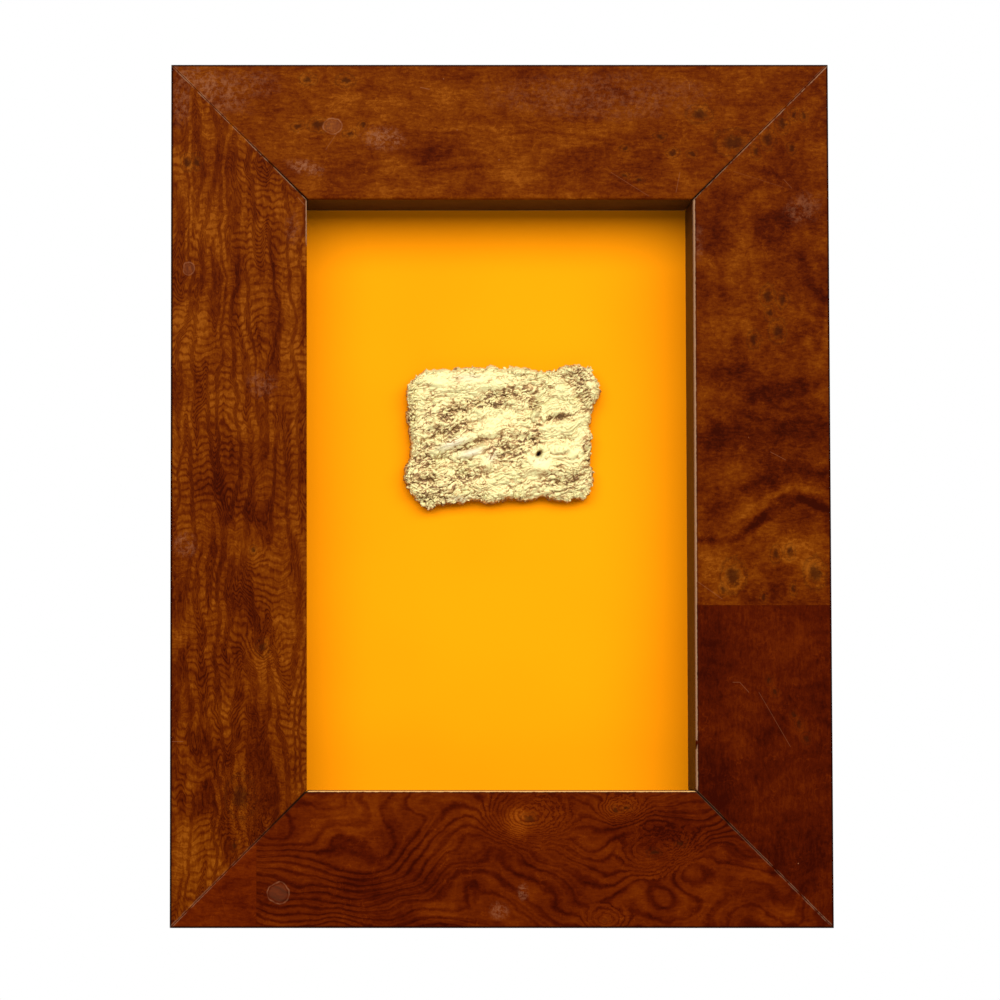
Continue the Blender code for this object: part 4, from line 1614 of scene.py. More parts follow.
@dataclass(frozen=True)
class CrustRelief:
    """The crust's heights in millimetres: swells and troughs, streaks along one grain, a curled rim."""

    thickness: float = 3.6
    rim_height: float = 1.7
    rim_round: float = 2.6
    rim_band: float = 3.6
    grain_tilt: float = 17.0
    pit: Oval = Oval(9.3, -4.1, 0.75, 0.45, 50, 2.4)
    swells: tuple[Oval, ...] = ovals(
        (-7.0, 13.6, 8.0, 2.6, 6, 0.8), (-16.4, 13.4, 1.2, 2.4, 80, 0.7),
        (-12.4, 6.0, 3.8, 1.5, 28, -1.1), (-12.4, 1.6, 4.6, 1.3, 14, -1.1),
        (-16.5, 3.4, 1.6, 1.1, 35, 1.1), (1.0, 10.2, 4.4, 1.5, 10, -1.0),
        (-5.2, 8.0, 1.0, 1.6, 70, -0.7), (1.6, 8.6, 1.6, 0.7, 20, 0.6), (-11.9, -1.5, 4.4, 1.1, 20, 0.9),
        (-7.2, -2.2, 3.2, 1.0, 24, -1.2), (-8.3, -3.9, 3.4, 0.9, 12, 0.7),
        (-17.0, -5.4, 5.0, 2.4, 12, -1.1), (-18.0, -10.8, 4.6, 1.9, 8, -1.2),
        (-9.5, -8.4, 3.0, 1.8, 15, -0.7), (-4.0, -7.3, 2.2, 1.8, 40, 0.8),
        (1.2, -4.6, 3.4, 2.8, 10, -0.55), (7.6, -1.0, 3.4, 1.6, 8, -0.65),
        (8.0, 8.2, 1.6, 2.4, 20, -1.0), (8.9, 6.6, 0.7, 1.5, -35, 1.3), (14.4, 4.4, 2.8, 1.0, 12, -0.7),
        (10.0, -8.0, 2.8, 1.7, -8, 0.8), (15.6, -10.8, 4.6, 1.2, 12, -0.8),
        (17.8, -4.4, 1.6, 1.2, 60, 0.7), (21.2, -5.2, 0.9, 2.2, 0, -0.9),
        (22.4, 12.0, 1.3, 4.2, 18, 0.9), (17.6, 16.8, 3.6, 1.0, 6, 0.8), (19.4, 9.0, 1.1, 3.4, 20, -0.8),
        (16.8, 14.0, 3.0, 1.0, 20, -0.7), (8.0, 1.8, 7.0, 1.1, 8, 0.4), (5.5, 16.6, 5.0, 1.0, 0, 0.5),
        (-22.4, 4.4, 0.9, 2.4, 0, -0.7), (-18.0, -15.6, 4.6, 1.2, 4, -0.8),
        (-1.0, -14.6, 6.0, 1.4, 6, 0.4))
    smooth: tuple[Oval, ...] = ovals(
        (-7.0, 13.8, 7.0, 2.0, 6), (-11.9, -1.5, 4.2, 1.1, 20), (-8.3, -3.9, 3.0, 0.9, 12),
        (10.0, -8.0, 2.4, 1.5, 0, 0.8), (-4.0, -7.0, 1.6, 1.2, 40, 0.8), (8.0, 1.8, 6.0, 0.9, 8, 0.6),
        (5.5, 16.6, 5.0, 0.9, 0), (-16.5, 3.4, 1.3, 0.9, 30, 0.8))

    def heights(self, x: np.ndarray, z: np.ndarray, edge: np.ndarray) -> tuple[np.ndarray, np.ndarray]:
        """Work out the front.

        Args:
            x: places across, from the crust's middle.
            z: places upward.
            edge: distance in from the rim.

        Returns:
            The height over the foot, and the relief alone.
        """
        swell = 0.75 * sum(oval(x, z) for oval in self.swells)
        relief = swell + self._fine(x, z, edge, swell)
        inward = np.clip(edge / self.rim_round, 0, 1)
        shoulder = np.sqrt(1 - (1 - inward) ** 2)
        body = self.rim_height + (self.thickness - self.rim_height) * shoulder
        height = body + relief * (0.4 + 0.6 * shoulder) - self.pit(x, z)
        return np.maximum(height, self.rim_height * 0.5), relief

    def _fine(self, x: np.ndarray, z: np.ndarray, edge: np.ndarray, swell: np.ndarray) -> np.ndarray:
        """Streaks, creases and curls over the swells.

        Args:
            x: places across, in millimetres from the crust's middle.
            z: places upward.
            edge: distance in from the rim.
            swell: the swells' height.

        Returns:
            The fine relief.
        """
        smooth = np.clip(sum(oval(x, z) for oval in self.smooth), 0, 1)
        rim = np.clip(1 - edge / self.rim_band, 0, 1)
        bent_x = x + 1.4 * Ripple(21)(x * 0.20, z * 0.20) + 0.40 * Ripple(22)(x * 0.7, z * 0.7)
        bent_z = z + 1.4 * Ripple(23)(x * 0.20, z * 0.20) + 0.40 * Ripple(24)(x * 0.7, z * 0.7)
        tilt = math.radians(self.grain_tilt)
        along = bent_x * math.cos(tilt) + bent_z * math.sin(tilt)
        across = bent_z * math.cos(tilt) - bent_x * math.sin(tilt)
        streaks = 0.20 * Ripple(1).crease(along * 0.12, across * 0.40, 2.4) ** 2
        streaks += 0.22 * Ripple(2).crease(along * 0.26, across * 0.80) ** 2
        streaks += 0.18 * Ripple(3).crease(along * 0.52, across * 1.5, 2.0) ** 1.5
        streaks += 0.08 * Ripple(4).crease(along * 0.9, across * 2.7, 1.8)
        lumps = 0.62 * np.abs(Ripple(81)(bent_x * 0.34, bent_z * 0.46))
        lumps += 0.46 * np.abs(Ripple(82)(bent_x * 0.70, bent_z * 0.95))
        lumps += 0.20 * np.abs(Ripple(83)(bent_x * 1.5, bent_z * 2.0))
        cracks = 0.40 * Ripple(5).crease(bent_x * 0.45, bent_z * 0.60) ** 2
        cracks += 0.30 * Ripple(6).crease(bent_x * 0.85, bent_z * 1.1, 2.0) ** 2
        gate = np.clip(0.3 + 1.8 * Ripple(7)(x * 0.28, z * 0.28), 0, 1)
        busy = np.clip(0.70 + 0.5 * rim - 0.55 * swell + 0.6 * Ripple(31)(x * 0.16, z * 0.16), 0.2, 1.5)
        wave = 0.30 * Ripple(8)(along * 0.09, across * 0.30) + 0.22 * Ripple(9)(along * 0.2, across * 0.7)
        valley = streaks + cracks * np.clip(gate * 0.6 + rim * 1.0, 0, 1.2)
        plates = 0.26 * self._plated(along * 0.12, across * 0.26, 4.0, 51)
        plates += 0.15 * self._plated(along * 0.26, across * 0.50, 3.5, 55)
        rough = busy * (1 - 0.5 * smooth) * (plates + lumps - 0.25 - valley)
        return (wave * (1 - 0.4 * smooth) + rough) * 0.8

    @staticmethod
    def _plated(along: np.ndarray, across: np.ndarray, levels: float, seed: int) -> np.ndarray:
        """Flat plates that step down at ragged edges, each with a raised lip.

        Args:
            along: places along the grain.
            across: places across the grain.
            levels: how many steps a height of 1 has.
            seed: the first of three seeds.

        Returns:
            The plates' height.
        """
        ragged = 0.10 * Ripple(seed + 1)(along * 7, across * 5)
        ragged += 0.05 * Ripple(seed + 2)(along * 16, across * 11)
        level = levels * (Ripple(seed)(along, across) + ragged)
        whole = np.floor(level)
        share = level - whole
        lip = 0.45 * np.exp(-((share - 0.22) / 0.10) ** 2)
        return (whole + np.clip(share / 0.16, 0, 1)) / levels * 1.6 + lip / levels * 1.6


@dataclass
class GoldCrust:
    """The gold specimen: one crinkled crust, with its painted shading and how milky it is stored on it."""

    outline: CrustOutline = CrustOutline()
    relief: CrustRelief = CrustRelief()
    columns: int = 348
    rows: int = 260
    frill: float = 0.45
    foot_inset: float = 2.2
    lift: float = 0.5
    curl_count: int = 260
    curl_band: tuple[float, float] = (0.4, 2.4)
    curl_size: tuple[float, float, float] = (0.62 * MM, 0.10 * MM, 0.26 * MM)
    curl_bend: float = 0.28 * MM
    curl_seed: int = 77
    # the curls take a middling painted shading and brown shade, with no milky patch and no pit
    curl_looks: tuple[tuple[str, float], ...] = (
        ("painted_shading", 0.66), ("brown", 0.35), ("milky", 0.0), ("pit_shade", 0.0))
    foot_rings: tuple[tuple[float, float], ...] = ((-0.06, 0.80), (0.0, 0.60), (0.25, 0.42), (1.0, 0.0))
    # ovals of painted brown shade over the troughs
    brown: tuple[Oval, ...] = ovals(
        (-14.1, 4.8, 3.2, 1.6, 25), (-11.5, 1.3, 2.8, 1.4, 10), (-9.1, -2.6, 3.2, 0.7, 20),
        (-20.2, -5.8, 2.6, 2.0, -20), (-18.1, -11.1, 4.0, 1.4, 0), (-17.0, -15.8, 2.8, 1.0, 0),
        (-0.9, 9.8, 3.2, 1.2, 12), (0.7, -4.2, 3.2, 2.4, 0, 0.75), (7.0, -0.5, 2.3, 1.6, 0, 0.7),
        (-9.6, -8.4, 2.2, 1.6, 0, 0.5), (7.8, 8.7, 1.3, 1.8, 20, 0.9), (13.6, 4.8, 3.2, 0.8, 5, 0.6),
        (16.8, 17.2, 3.6, 1.0, 12, 0.7), (21.6, 10.6, 1.0, 3.2, 15, 0.8), (21.8, -5.3, 0.8, 2.4, 0, 0.9),
        (21.8, -1.0, 0.8, 1.4, 0, 0.8), (16.3, -11.6, 4.6, 0.9, 12, 0.6), (-23.1, 4.2, 0.9, 2.6, 0, 0.8),
        (-19.1, -2.1, 2.6, 1.4, 20, 0.5), (-4.9, 9.3, 5.0, 0.8, 20, 0.5),
        (20.5, 15.9, 2.2, 1.0, -40, 0.6), (-22.8, -9.0, 1.0, 2.0, -30, 0.6),
        (-16.0, 4.0, 3.6, 3.4, 20, 0.35), (4.0, 11.0, 6.0, 1.6, 15, 0.4),
        (2.5, -1.5, 4.0, 3.0, 10, 0.35), (15.0, -10.5, 6.0, 2.2, 10, 0.4),
        (-14.0, -12.0, 7.0, 2.4, 8, 0.4), (18.5, 12.5, 1.0, 3.4, 30, 0.6))
    milky: tuple[Oval, ...] = ovals(
        (-12.2, -1.6, 3.6, 0.9, 20, 0.7), (-7.6, -3.8, 2.8, 0.9, 14, 0.8),
        (-8.5, 15.0, 3.5, 1.0, 4, 0.4), (9.6, -6.4, 1.8, 0.9, 0, 0.5), (-2.6, -5.0, 1.6, 1.0, 40, 0.5),
        (-11.0, -15.6, 3.0, 0.7, 4, 0.4))

    def build(self, plan: FramePlan) -> bpy.types.Object:
        """Make the crust's mesh, store its painted shading on it and dress it.

        Args:
            plan: the frame's main lines.

        Returns:
            The crust.
        """
        low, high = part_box("gold_specimen")
        middle = (low + high) / 2
        x, z, edge = self.outline.grid(self.columns, self.rows)
        height, relief = self.relief.heights(x, z, edge)
        shown_x, shown_z = self._drawn(x, z, relief, edge)
        foot = plan.board_y
        depth = foot - (height + self.lift) * MM
        front = np.stack((middle.x + shown_x * MM, depth, middle.z + shown_z * MM), -1)
        crust = closed_sheet("gold_crust", front, self._skirts(front, middle, foot))
        self._store(crust, "painted_shading", self._painted_shading(height))
        self._store(crust, "brown", self._brown_shade(x, z, edge))
        self._store(crust, "milky", np.clip(sum(oval(x, z) for oval in self.milky), 0, 1))
        # painted shade inside the pit
        self._store(crust, "pit_shade", np.clip(self.relief.pit(x, z) / self.relief.pit.rise * 2.2 - 0.5, 0, 1))
        finish = GoldFinish().material()
        crust.data.materials.append(finish)
        self._curls(front, edge, finish)
        return settle(crust, ["gold_specimen"])

    def _curls(self, front: np.ndarray, edge: np.ndarray, finish: bpy.types.Material) -> bpy.types.Object:
        """Scatter small curled flakes of gold along the crust's rim.

        Args:
            front: the crust's front points.
            edge: their distance in from the rim, in millimetres.
            finish: the gold.

        Returns:
            The curls, as one mesh.
        """
        draw = np.random.default_rng(self.curl_seed)
        near = np.argwhere((edge > self.curl_band[0]) & (edge < self.curl_band[1]))
        chosen = near[draw.choice(len(near), self.curl_count, replace=False)]
        spots = [Vector(front[i, j]) for i, j in chosen]
        turns = draw.uniform(0, math.tau, self.curl_count)
        curl = self._one_curl()
        return Copies("gold_curls", "gold", (), 0.7, 0.5).build(curl, spots, turns, finish)

    def _one_curl(self) -> bpy.types.Object:
        """A thin flake, bent along its length, with the crust's own attributes.

        Returns:
            The flake, about the origin.
        """
        bm = bmesh.new()
        bmesh.ops.create_uvsphere(bm, u_segments=8, v_segments=4, radius=1.0)
        long, thick, high = self.curl_size
        for vert in bm.verts:
            x, y, z = vert.co
            vert.co = (x * long, y * thick - (x * x - 0.4) * self.curl_bend, z * high * (1 - 0.35 * x))
        mesh = bpy.data.meshes.new("curl")
        bm.to_mesh(mesh)
        bm.free()
        made = bpy.data.objects.new("curl", mesh)
        bpy.context.collection.objects.link(made)
        for name, value in self.curl_looks:
            self._store(made, name, np.full(len(mesh.vertices), value, np.float32))
        return made

    def _drawn(self, x: np.ndarray, z: np.ndarray, relief: np.ndarray,
               edge: np.ndarray) -> tuple[np.ndarray, np.ndarray]:
        """Draw crests together sideways as in crumpled foil, and fray the rim.

        Args:
            x: places across, in millimetres from the crust's middle.
            z: places upward.
            relief: the relief alone.
            edge: distance in from the rim.

        Returns:
            The drawn x and z.
        """
        slope_z, slope_x = np.gradient(relief)
        slope_x, slope_z = slope_x / np.gradient(x, axis=1), slope_z / np.gradient(z, axis=0)
        pull = 0.07 * np.clip(edge / 0.8, 0, 1)
        fray = self.frill * np.clip(1 - edge / 1.6, 0, 1)
        ragged_x = 1.2 * Ripple(41)(x * 0.55, z * 0.55) + 0.8 * Ripple(42)(x * 1.4, z * 1.4)
        ragged_z = 1.2 * Ripple(43)(x * 0.55, z * 0.55) + 0.8 * Ripple(44)(x * 1.4, z * 1.4)
        return (x - pull * np.clip(slope_x, -2, 2) + fray * ragged_x,
                z - pull * np.clip(slope_z, -2, 2) + fray * ragged_z)

    def _skirts(self, front: np.ndarray, middle: Vector, foot: float) -> list[np.ndarray]:
        """Rings that carry the rim round behind and in to the foot.

        Args:
            front: the front's points.
            middle: the crust's middle.
            foot: how deep the board's face lies.

        Returns:
            The rings, from the rim inward.
        """
        border = border_of(front)
        flat = border - np.array((middle.x, 0, middle.z))
        reach = np.hypot(flat[:, 0], flat[:, 2])
        skirts = []
        for inward, share in self.foot_rings:
            shrink = 1 - inward * self.foot_inset * MM / reach
            ring = border.copy()
            ring[:, 0] = middle.x + flat[:, 0] * shrink
            ring[:, 2] = middle.z + flat[:, 2] * shrink
            ring[:, 1] = foot - share * (foot - border[:, 1])
            skirts.append(ring)
        return skirts

    @staticmethod
    def _painted_shading(height: np.ndarray) -> np.ndarray:
        """Painted shading from 0 to 1: light where a place lies over its surroundings, painted shade in
        hollows and where it faces downward, away from the light.

        Args:
            height: the front's heights.

        Returns:
            The share for each place.
        """
        near = (height - blurred(height, 16)) * 3.2
        wide = (height - blurred(height, 160)) * 0.85
        # painted shade where the front faces downward, away from the light above
        downward_shade = np.gradient(blurred(height, 1), axis=0) * 3.0
        over = np.clip(near, -1, 1) + np.clip(wide, -1, 0.8) - np.clip(downward_shade, -0.5, 1)
        return np.clip(0.60 + 0.5 * over, 0, 1)

    def _brown_shade(self, x: np.ndarray, z: np.ndarray, edge: np.ndarray) -> np.ndarray:
        """How far each place lies in a patch of painted brown shade over a trough or in the rim's painted
        shade, both ragged at their edges.

        Args:
            x: places across, in millimetres from the crust's middle.
            z: places upward.
            edge: distance in from the rim.

        Returns:
            The share of painted brown shade, from 0 to 1.
        """
        bent_x = x + 1.3 * Ripple(61)(x * 0.35, z * 0.5) + 0.6 * Ripple(62)(x * 1.0, z * 1.4)
        bent_z = z + 0.9 * Ripple(63)(x * 0.35, z * 0.5) + 0.5 * Ripple(64)(x * 1.0, z * 1.4)
        patches = sum(np.sqrt(oval(bent_x, bent_z)) for oval in self.brown)
        rim = np.clip(1 - edge / 3.0, 0, 1) * np.clip(0.4 + 0.9 * Ripple(66)(x * 0.25, z * 0.25), 0, 1)
        return np.clip(patches * 1.25 + 0.80 * rim + 0.45 * Ripple(65)(x * 0.30, z * 0.45), 0, 1)

    @staticmethod
    def _store(crust: bpy.types.Object, name: str, values: np.ndarray) -> None:
        """Store one number per point on the mesh, 0 behind the front.

        Args:
            crust: the object.
            name: the attribute's name.
            values: the front's numbers.
        """
        whole = np.zeros(len(crust.data.vertices), np.float32)
        whole[:values.size] = values.ravel()
        crust.data.attributes.new(name, "FLOAT", "POINT").data.foreach_set("value", whole)


def blurred(grid: np.ndarray, rounds: int) -> np.ndarray:
    """A grid smoothed by many small steps.

    Args:
        grid: the grid.
        rounds: how many steps.

    Returns:
        The smoothed grid.
    """
    for _ in range(rounds):
        pad = np.pad(grid, 1, mode="edge")
        grid = (pad[:-2, 1:-1] + pad[2:, 1:-1] + pad[1:-1, :-2] + pad[1:-1, 2:] + 4 * grid) / 8
    return grid


@dataclass
class Studio:
    """Camera, light and floor around the piece; none of it is part of the object."""

    camera_distance: float = 0.735
    camera_foot: tuple[float, float] = (-0.0475, -0.155)
    pixels_per_turn: float = 2997.6
    turn_degrees: tuple[float, float] = (-0.01, 2.34)
    image_pixels: float = 1000.0
    sensor: float = 36.0
    shift: tuple[float, float] = (0.193, 0.130)
    key_power: float = 67.5
    key_size: tuple[float, float] = (3.7, 1.12)
    key_distance: float = 1.6
    key_slope: tuple[float, float] = (0.12, 0.52)
    world_light: float = 0.19
    floor_drop: float = 0.90
    floor_size: float = 3.0
    floor_tones: tuple[Colour, Colour] = ((0.80, 0.80, 0.79), (0.86, 0.86, 0.85))

    def build(self, plan: FramePlan) -> None:
        """Set up the camera, the lights and the floor.

        Args:
            plan: the frame's main lines.
        """
        self._camera(plan)
        self._key(plan)
        self._world()
        self._floor(plan)
        bpy.context.scene.view_settings.view_transform = "Standard"

    def _camera(self, plan: FramePlan) -> None:
        """Stand the camera low on the left in front of the opening, turned a little up and right.

        Args:
            plan: the frame's main lines.
        """
        data = bpy.data.cameras.new("camera")
        camera = bpy.data.objects.new("camera", data)
        bpy.context.collection.objects.link(camera)
        data.sensor_width = self.sensor
        data.lens = self.sensor * self.pixels_per_turn / self.image_pixels
        data.shift_x, data.shift_y = self.shift
        yaw, pitch = (math.radians(angle) for angle in self.turn_degrees)
        turn = Matrix.Rotation(-yaw, 4, "Z") @ Matrix.Rotation(math.pi / 2 + pitch, 4, "X")
        foot = Vector((self.camera_foot[0], plan.face_y - self.camera_distance, self.camera_foot[1]))
        camera.matrix_world = Matrix.Translation(foot) @ turn
        bpy.context.scene.camera = camera

    def _key(self, plan: FramePlan) -> None:
        """One wide soft strip of light in front, above and a little to the right.

        Args:
            plan: the frame's main lines.
        """
        data = bpy.data.lights.new("key", "AREA")
        data.shape = "RECTANGLE"
        data.size, data.size_y = self.key_size
        data.energy = self.key_power
        light = bpy.data.objects.new("key", data)
        bpy.context.collection.objects.link(light)
        heading = Vector((self.key_slope[0], -1, self.key_slope[1])).normalized()
        light.location = plan.middle + heading * self.key_distance
        light.rotation_euler = heading.to_track_quat("Z", "Y").to_euler()

    def _world(self) -> None:
        """A white surround, dimmer as a light than as it is seen."""
        world = bpy.data.worlds.new("surround")
        world.use_nodes = True
        bpy.context.scene.world = world
        tree = world.node_tree
        background = tree.nodes["Background"]
        background.inputs["Color"].default_value = (1, 1, 1, 1)
        seen = tree.nodes.new("ShaderNodeLightPath").outputs["Is Camera Ray"]
        level = tree.nodes.new("ShaderNodeMapRange")
        level.inputs["To Min"].default_value = self.world_light
        level.inputs["To Max"].default_value = 1.0
        tree.links.new(seen, level.inputs["Value"])
        tree.links.new(level.outputs["Result"], background.inputs["Strength"])

    def _floor(self, plan: FramePlan) -> None:
        """A plain pale floor well under the frame, which hangs.

        Args:
            plan: the frame's main lines.
        """
        half = self.floor_size / 2
        z = plan.low.z - self.floor_drop
        corners = np.array([(sx * half, sy * half, z) for sx, sy in ((-1, -1), (1, -1), (1, 1), (-1, 1))])
        floor = mesh_object("floor", corners, [(0, 1, 2, 3)])
        recipe = Recipe("pale_floor")
        grain = recipe.noise(recipe.place(), 0.02, 3.0)
        floor.data.materials.append(recipe.finish(recipe.blend(grain, *self.floor_tones), 0.6))


def veneer_leaves() -> list[VeneerLeaf]:
    """The six leaves on the frame's face, each with what the photograph shows in it.

    Returns:
        The leaves.
    """
    top = BurlFinish(
        "burl_top", Side.TOP, 1.0, Figure((0.0, 0.10), 5.0, (0.020, 0.09), 0.16), tone=0.58, blotch=0.9,
        fibre=0.95, mitre_low=(0.0, 0.3), mitre_high=(0.0, 0.12),
        knots=marks(
            Knot, (318, 121, 1.4, 5), (298, 122, 0.9, 4), (346, 76, 1.3, 5), (308, 75, 1.2, 4),
            (701, 110, 1.8, 6, 1.2), (735, 139, 2.6, 6, 1.2), (661, 133, 0.9), (626, 145, 0.7),
            (674, 149, 0.9), (693, 150, 0.8), (625, 172, 0.7), (640, 177, 0.7), (350, 130, 0.9),
            (363, 121, 0.7)),
        clouds=marks(
            Cloud, (344, 100, 8, 3, 0, 0.22), (420, 100, 10, 6, 0, 0.14), (520, 165, 9, 4, 0, 0.14),
            (440, 150, 9, 6, 0, -0.22), (400, 165, 8, 3, 0, 0.12), (610, 160, 12, 6, 0, -0.16),
            (780, 90, 12, 5, 20, -0.12)),
        # painted sheen across the upper left and along the top leaf
        sheens_and_scuffs=marks(
            SheenAndScuff, (384, 135, 5.5, 3.2, -10, 0.75), (306, 164, 5.0, 2.0, -15, 0.8),
            (205, 84, 12, 5, -20, 0.65), (245, 80, 9, 4, 0, 0.35), (600, 92, 28, 6, 0, 0.26)),
        strokes=(Stroke((612, 169), (650, 193), 0.09, 0.4), Stroke((681, 169), (677, 189), 0.12, 0.4),
                 Stroke((691, 80), (691, 85), 0.16, 0.5), Stroke((421, 83), (430, 85), 0.14, 0.6),
                 Stroke((338, 128), (326, 146), 0.10, 0.4)),
        halos=marks(
            Halo, (333, 122, 2.4, 0.3, 0.8, 1.25)))
    left = BurlFinish(
        "burl_left", Side.LEFT, 2.0, Figure((0.03, 0.50), 6.0, (0.10, 0.05), 0.36, 0.9, 3.0, 5.0), tone=0.68,
        blotch=0.8, fibre=0.8, bands=0.26, worn_width=0.26, worn_share=0.55, worn_above=-29.0,
        mitre_low=(0.0, 0.25), mitre_high=(0.5, 0.45),
        knots=marks(
            Knot, (187, 159, 1.3, 4), (197, 158, 1.2, 4), (254, 548, 0.7, 5, 2.5),
            (263, 645, 1.3, 7, 4.0), (241, 794, 2.8, 10, 6.0, 0.7), (235, 843, 0.8, 3)),
        clouds=marks(
            Cloud, (201, 222, 3.5, 7, 0, 0.2), (223, 235, 3, 8, 0, 0.16), (190, 330, 5, 8, 0, 0.2),
            (259, 239, 3, 6, 0, 0.18), (245, 330, 2.5, 14, 0, 0.14), (293, 320, 2, 10, 0, 0.12),
            (236, 270, 1.3, 18, 0, -0.25), (275, 300, 1.5, 22, 0, -0.2), (215, 470, 8, 16, 0, -0.12),
            (185, 845, 4, 7, 0, 0.2), (230, 620, 14, 20, 0, -0.12), (245, 490, 14, 12, 0, -0.20),
            (245, 770, 15, 20, 0, -0.17), (185, 215, 3.5, 14, 0, 0.14)),
        sheens_and_scuffs=marks(
            SheenAndScuff, (262, 382, 4, 3.5, 0, 0.35), (186, 543, 3.0, 3.2, 0, 0.5), (293, 226, 2, 4, 0, 0.3),
            (181, 95, 2.5, 7, 0, 0.45)),
        strokes=(Stroke((173, 739), (184, 739), 0.10, 0.6), Stroke((298, 194), (305, 202), 0.12, 0.5)),
        halos=marks(
            Halo, (189, 266, 1.3, 0.22, 0.6, 0.8)))
    right_upper = BurlFinish(
        "burl_right_upper", Side.RIGHT, 3.0,
        Figure((0.05, 0.05), 7.0, (0.05, 0.05), 0.16, grain=(0.26, 0.9)), tone=0.47, blotch=1.15,
        fibre=0.9, worn_width=0.42, worn_share=1.2, mitre_low=(0.1, 0.2), mitre_high=(0.35, 0.6),
        knots=marks(
            Knot, (784, 119, 1.4, 5), (769, 135, 1.5, 5), (757, 148, 1.0, 4), (796, 111, 0.9),
            (805, 112, 0.8), (793, 145, 0.9), (768, 293, 1.5, 5), (783, 297, 1.2, 5),
            (778, 329, 1.7, 5, 1.2), (754, 337, 1.3, 5), (770, 311, 1.0), (775, 552, 1.2, 5),
            (789, 550, 1.1, 4), (732, 574, 2.4, 6, 1.2), (814, 571, 2.2, 6), (792, 587, 0.9),
            (722, 588, 0.9), (762, 595, 0.8)),
        clouds=marks(
            Cloud, (745, 250, 6, 5, 0, 0.16), (770, 195, 6, 3, 0, 0.18), (725, 325, 7, 3, 0, 0.16),
            (785, 388, 11, 2.6, 12, -0.3), (735, 380, 8, 4, -20, -0.2), (790, 225, 7, 10, 0, -0.14),
            (770, 512, 9, 1.6, 28, -0.32), (812, 500, 5, 1.6, -30, -0.32), (780, 540, 8, 5, 0, 0.16),
            (725, 432, 8, 4, 0, -0.14), (800, 430, 8, 4, 0, -0.20), (720, 475, 7, 3, 10, 0.12),
            (710, 520, 4, 5, 0, -0.12), (735, 566, 11, 5, 0, 0.18), (806, 548, 7, 7, 0, 0.20),
            (762, 590, 6, 3, 0, -0.16), (765, 435, 16, 16, 0, -0.18), (715, 140, 5, 8, 0, -0.12)),
        veins=(Vein(((686, 537), (730, 540), (750, 528), (768, 505), (790, 494), (832, 512)), 1.6, -0.34),
               Vein(((725, 522), (752, 505), (790, 482), (832, 492)), 1.5, 0.20),
               Vein(((715, 505), (760, 480), (795, 464), (834, 474)), 3.2, -0.26),
               Vein(((800, 250), (820, 300), (818, 345)), 2.4, -0.24)),
        sheens_and_scuffs=marks(
            SheenAndScuff, (804, 205, 5, 4, 20, 0.35), (700, 240, 1.5, 5, 0, 0.3), (735, 617, 3, 1, 10, 0.5)),
        strokes=(Stroke((770, 450), (785, 458), 0.10, 0.5), Stroke((697, 580), (721, 597), 0.10, 0.45),
                 Stroke((735, 168), (785, 184), 0.07, 0.25), Stroke((785, 176), (793, 185), 0.09, 0.4)))
    right_lower = BurlFinish(
        "burl_right_lower", Side.RIGHT, 4.0, Figure((0.05, 0.2), 7.0, (0.04, 0.04), 0.10), tone=0.24,
        tint=(1.0, 0.82, 0.9), blotch=0.7, fibre=0.6, worn_width=0.38, worn_share=1.2, mitre_low=(0.1, 0.35),
        knots=marks(
            Knot, (797, 721, 0.9, 4), (804, 736, 0.9, 4), (767, 678, 0.7), (773, 690, 0.7),
            (791, 712, 0.7), (790, 847, 0.6, 8, 3.0, 0.2)),
        clouds=marks(
            Cloud, (712, 790, 6, 12, 0, -0.16), (795, 855, 9, 10, 0, -0.20), (712, 655, 5, 9, 0, -0.12),
            (795, 655, 7, 8, 0, 0.10), (735, 725, 7, 9, 0, 0.06)),
        strokes=(Stroke((757, 690), (788, 744), 0.09, 0.4), Stroke((731, 680), (738, 680), 0.10, 0.5),
                 Stroke((738, 680), (747, 690), 0.10, 0.5)))
    bottom = BurlFinish(
        "burl_bottom", Side.BOTTOM, 5.0, Figure((0.0, 0.30), 20.0, (0.022, 0.034), 0.36), tone=0.36,
        tint=(1.0, 0.80, 0.8), blotch=0.7, fibre=0.5, worn_width=0.24, worn_share=1.3, mitre_low=(0.0, 0.3),
        mitre_high=(0.1, 0.3),
        knots=marks(
            Knot, (528, 816, 1.2, 11, 8.0, 0.7), (625, 805, 0.8, 6, 4.0), (614, 807, 0.8, 5, 3.0),
            (652, 849, 1.0, 9, 6.0), (678, 840, 0.9, 7, 4.0), (603, 917, 0.6, 6, 4.0, 0.3)),
        clouds=marks(
            Cloud, (345, 815, 13, 6, 20, 0.22), (519, 818, 4, 4, 0, 0.26), (441, 908, 6, 3, 0, 0.26),
            (750, 875, 5, 4, 0, 0.24), (772, 909, 5, 3, 0, 0.22), (655, 828, 13, 7, 0, -0.20),
            (420, 870, 18, 6, 10, -0.12), (400, 920, 20, 3, 0, -0.1), (345, 890, 11, 6, 0, -0.16),
            (735, 830, 10, 7, 0, -0.14), (272, 890, 8, 6, 0, -0.12)),
        sheens_and_scuffs=marks(
            SheenAndScuff, (522, 888, 1.6, 2.2, 0, 0.6), (498, 907, 2.4, 2.4, 0, 0.5)),
        halos=marks(
            Halo, (279, 889, 2.6, 0.24, 0.6)))
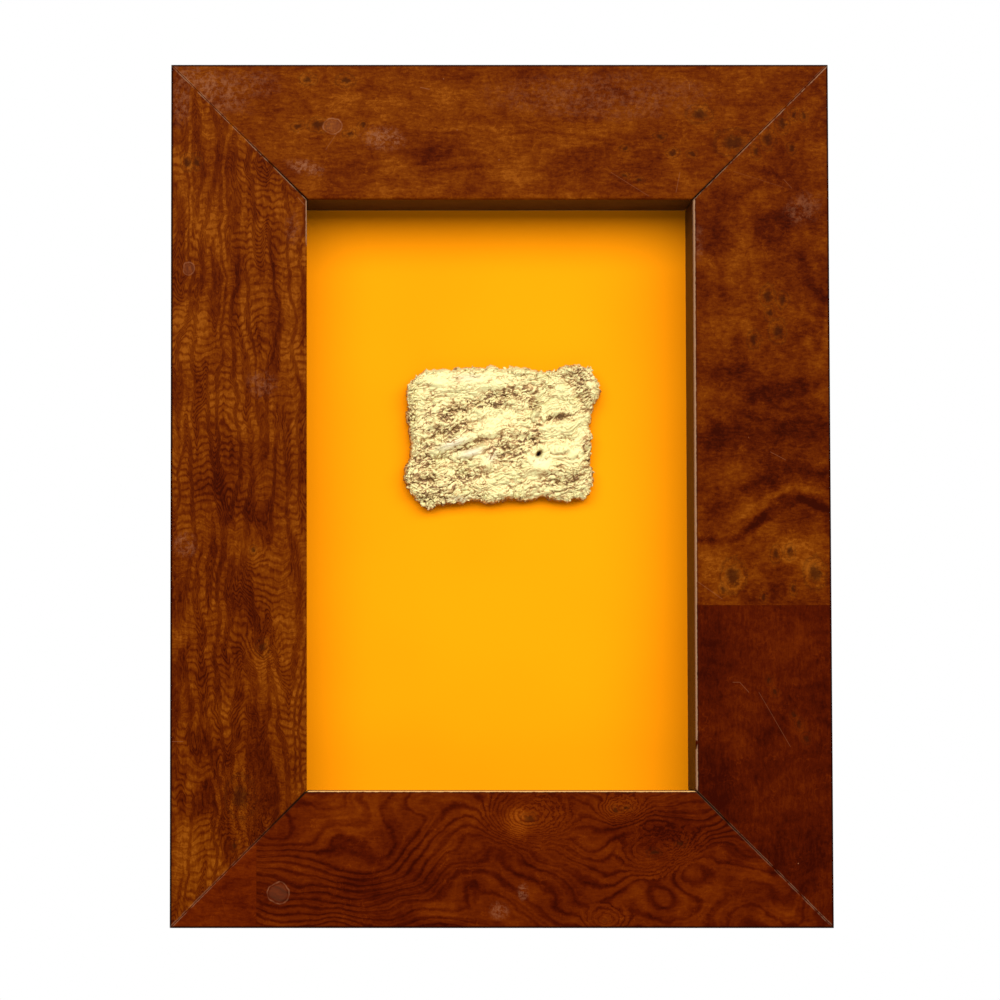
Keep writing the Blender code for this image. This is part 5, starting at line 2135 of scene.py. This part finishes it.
    bottom_end = BurlFinish("burl_bottom_end", Side.BOTTOM, 6.0, Figure((0.02, 0.2), 5.0, (0.03, 0.06), 0.16),
                            tone=0.45, tint=(1.0, 0.72, 0.6), blotch=0.6, fibre=0.6, mitre_low=(0.0, 0.3))
    return [
        VeneerLeaf("veneer_top", Side.TOP, top),
        VeneerLeaf("veneer_left", Side.LEFT, left),
        VeneerLeaf("veneer_right_upper", Side.RIGHT, right_upper, RIGHT_SEAM, above_seam=True),
        VeneerLeaf("veneer_right_lower", Side.RIGHT, right_lower, RIGHT_SEAM, above_seam=False),
        VeneerLeaf("veneer_bottom", Side.BOTTOM, bottom, BOTTOM_SEAM, above_seam=True),
        VeneerLeaf("veneer_bottom_end", Side.BOTTOM, bottom_end, BOTTOM_SEAM, above_seam=False),
    ]


def dress_frame(plan: FramePlan) -> None:
    """Dress the CAD nodes that keep their own shape.

    Args:
        plan: the frame's main lines.
    """
    for node, side in (("top_rail", Side.TOP), ("bottom_rail", Side.BOTTOM), ("left_stile", Side.LEFT),
                       ("right_stile", Side.RIGHT)):
        dress_node(node, StainedFinish("stained_" + node, side).material(plan))
    dress_node("mount_board", BoardFinish().material(plan))
    dress_node("back_panel", HardboardFinish().material())
    steel = MetalFinish("zinc_steel", (0.55, 0.56, 0.57), (0.30, 0.29, 0.27)).material()
    brassed = MetalFinish("brassed_steel", (0.72, 0.53, 0.22), (0.32, 0.22, 0.10), 0.26).material()
    pad = PadFinish().material()
    GlueLines().build(plan)
    FramerPoints().build(plan, steel)
    CornerNails().build(plan, steel)
    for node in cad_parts:
        if node.startswith(("sawtooth", "hanger_nail")):
            dress_node(node, brassed)
        elif node.startswith("bumper"):
            dress_node(node, pad)


def main() -> None:
    """Build every sub-assembly in order and report each piece."""
    logging.basicConfig(level=logging.INFO, format="%(message)s")
    plan = FramePlan.from_cad()
    scale = PhotoScale(plan)
    Studio().build(plan)
    dress_frame(plan)
    for leaf in veneer_leaves():
        leaf.build(plan, scale)
    GoldCrust().build(plan)


if __name__ == "__main__":
    main()
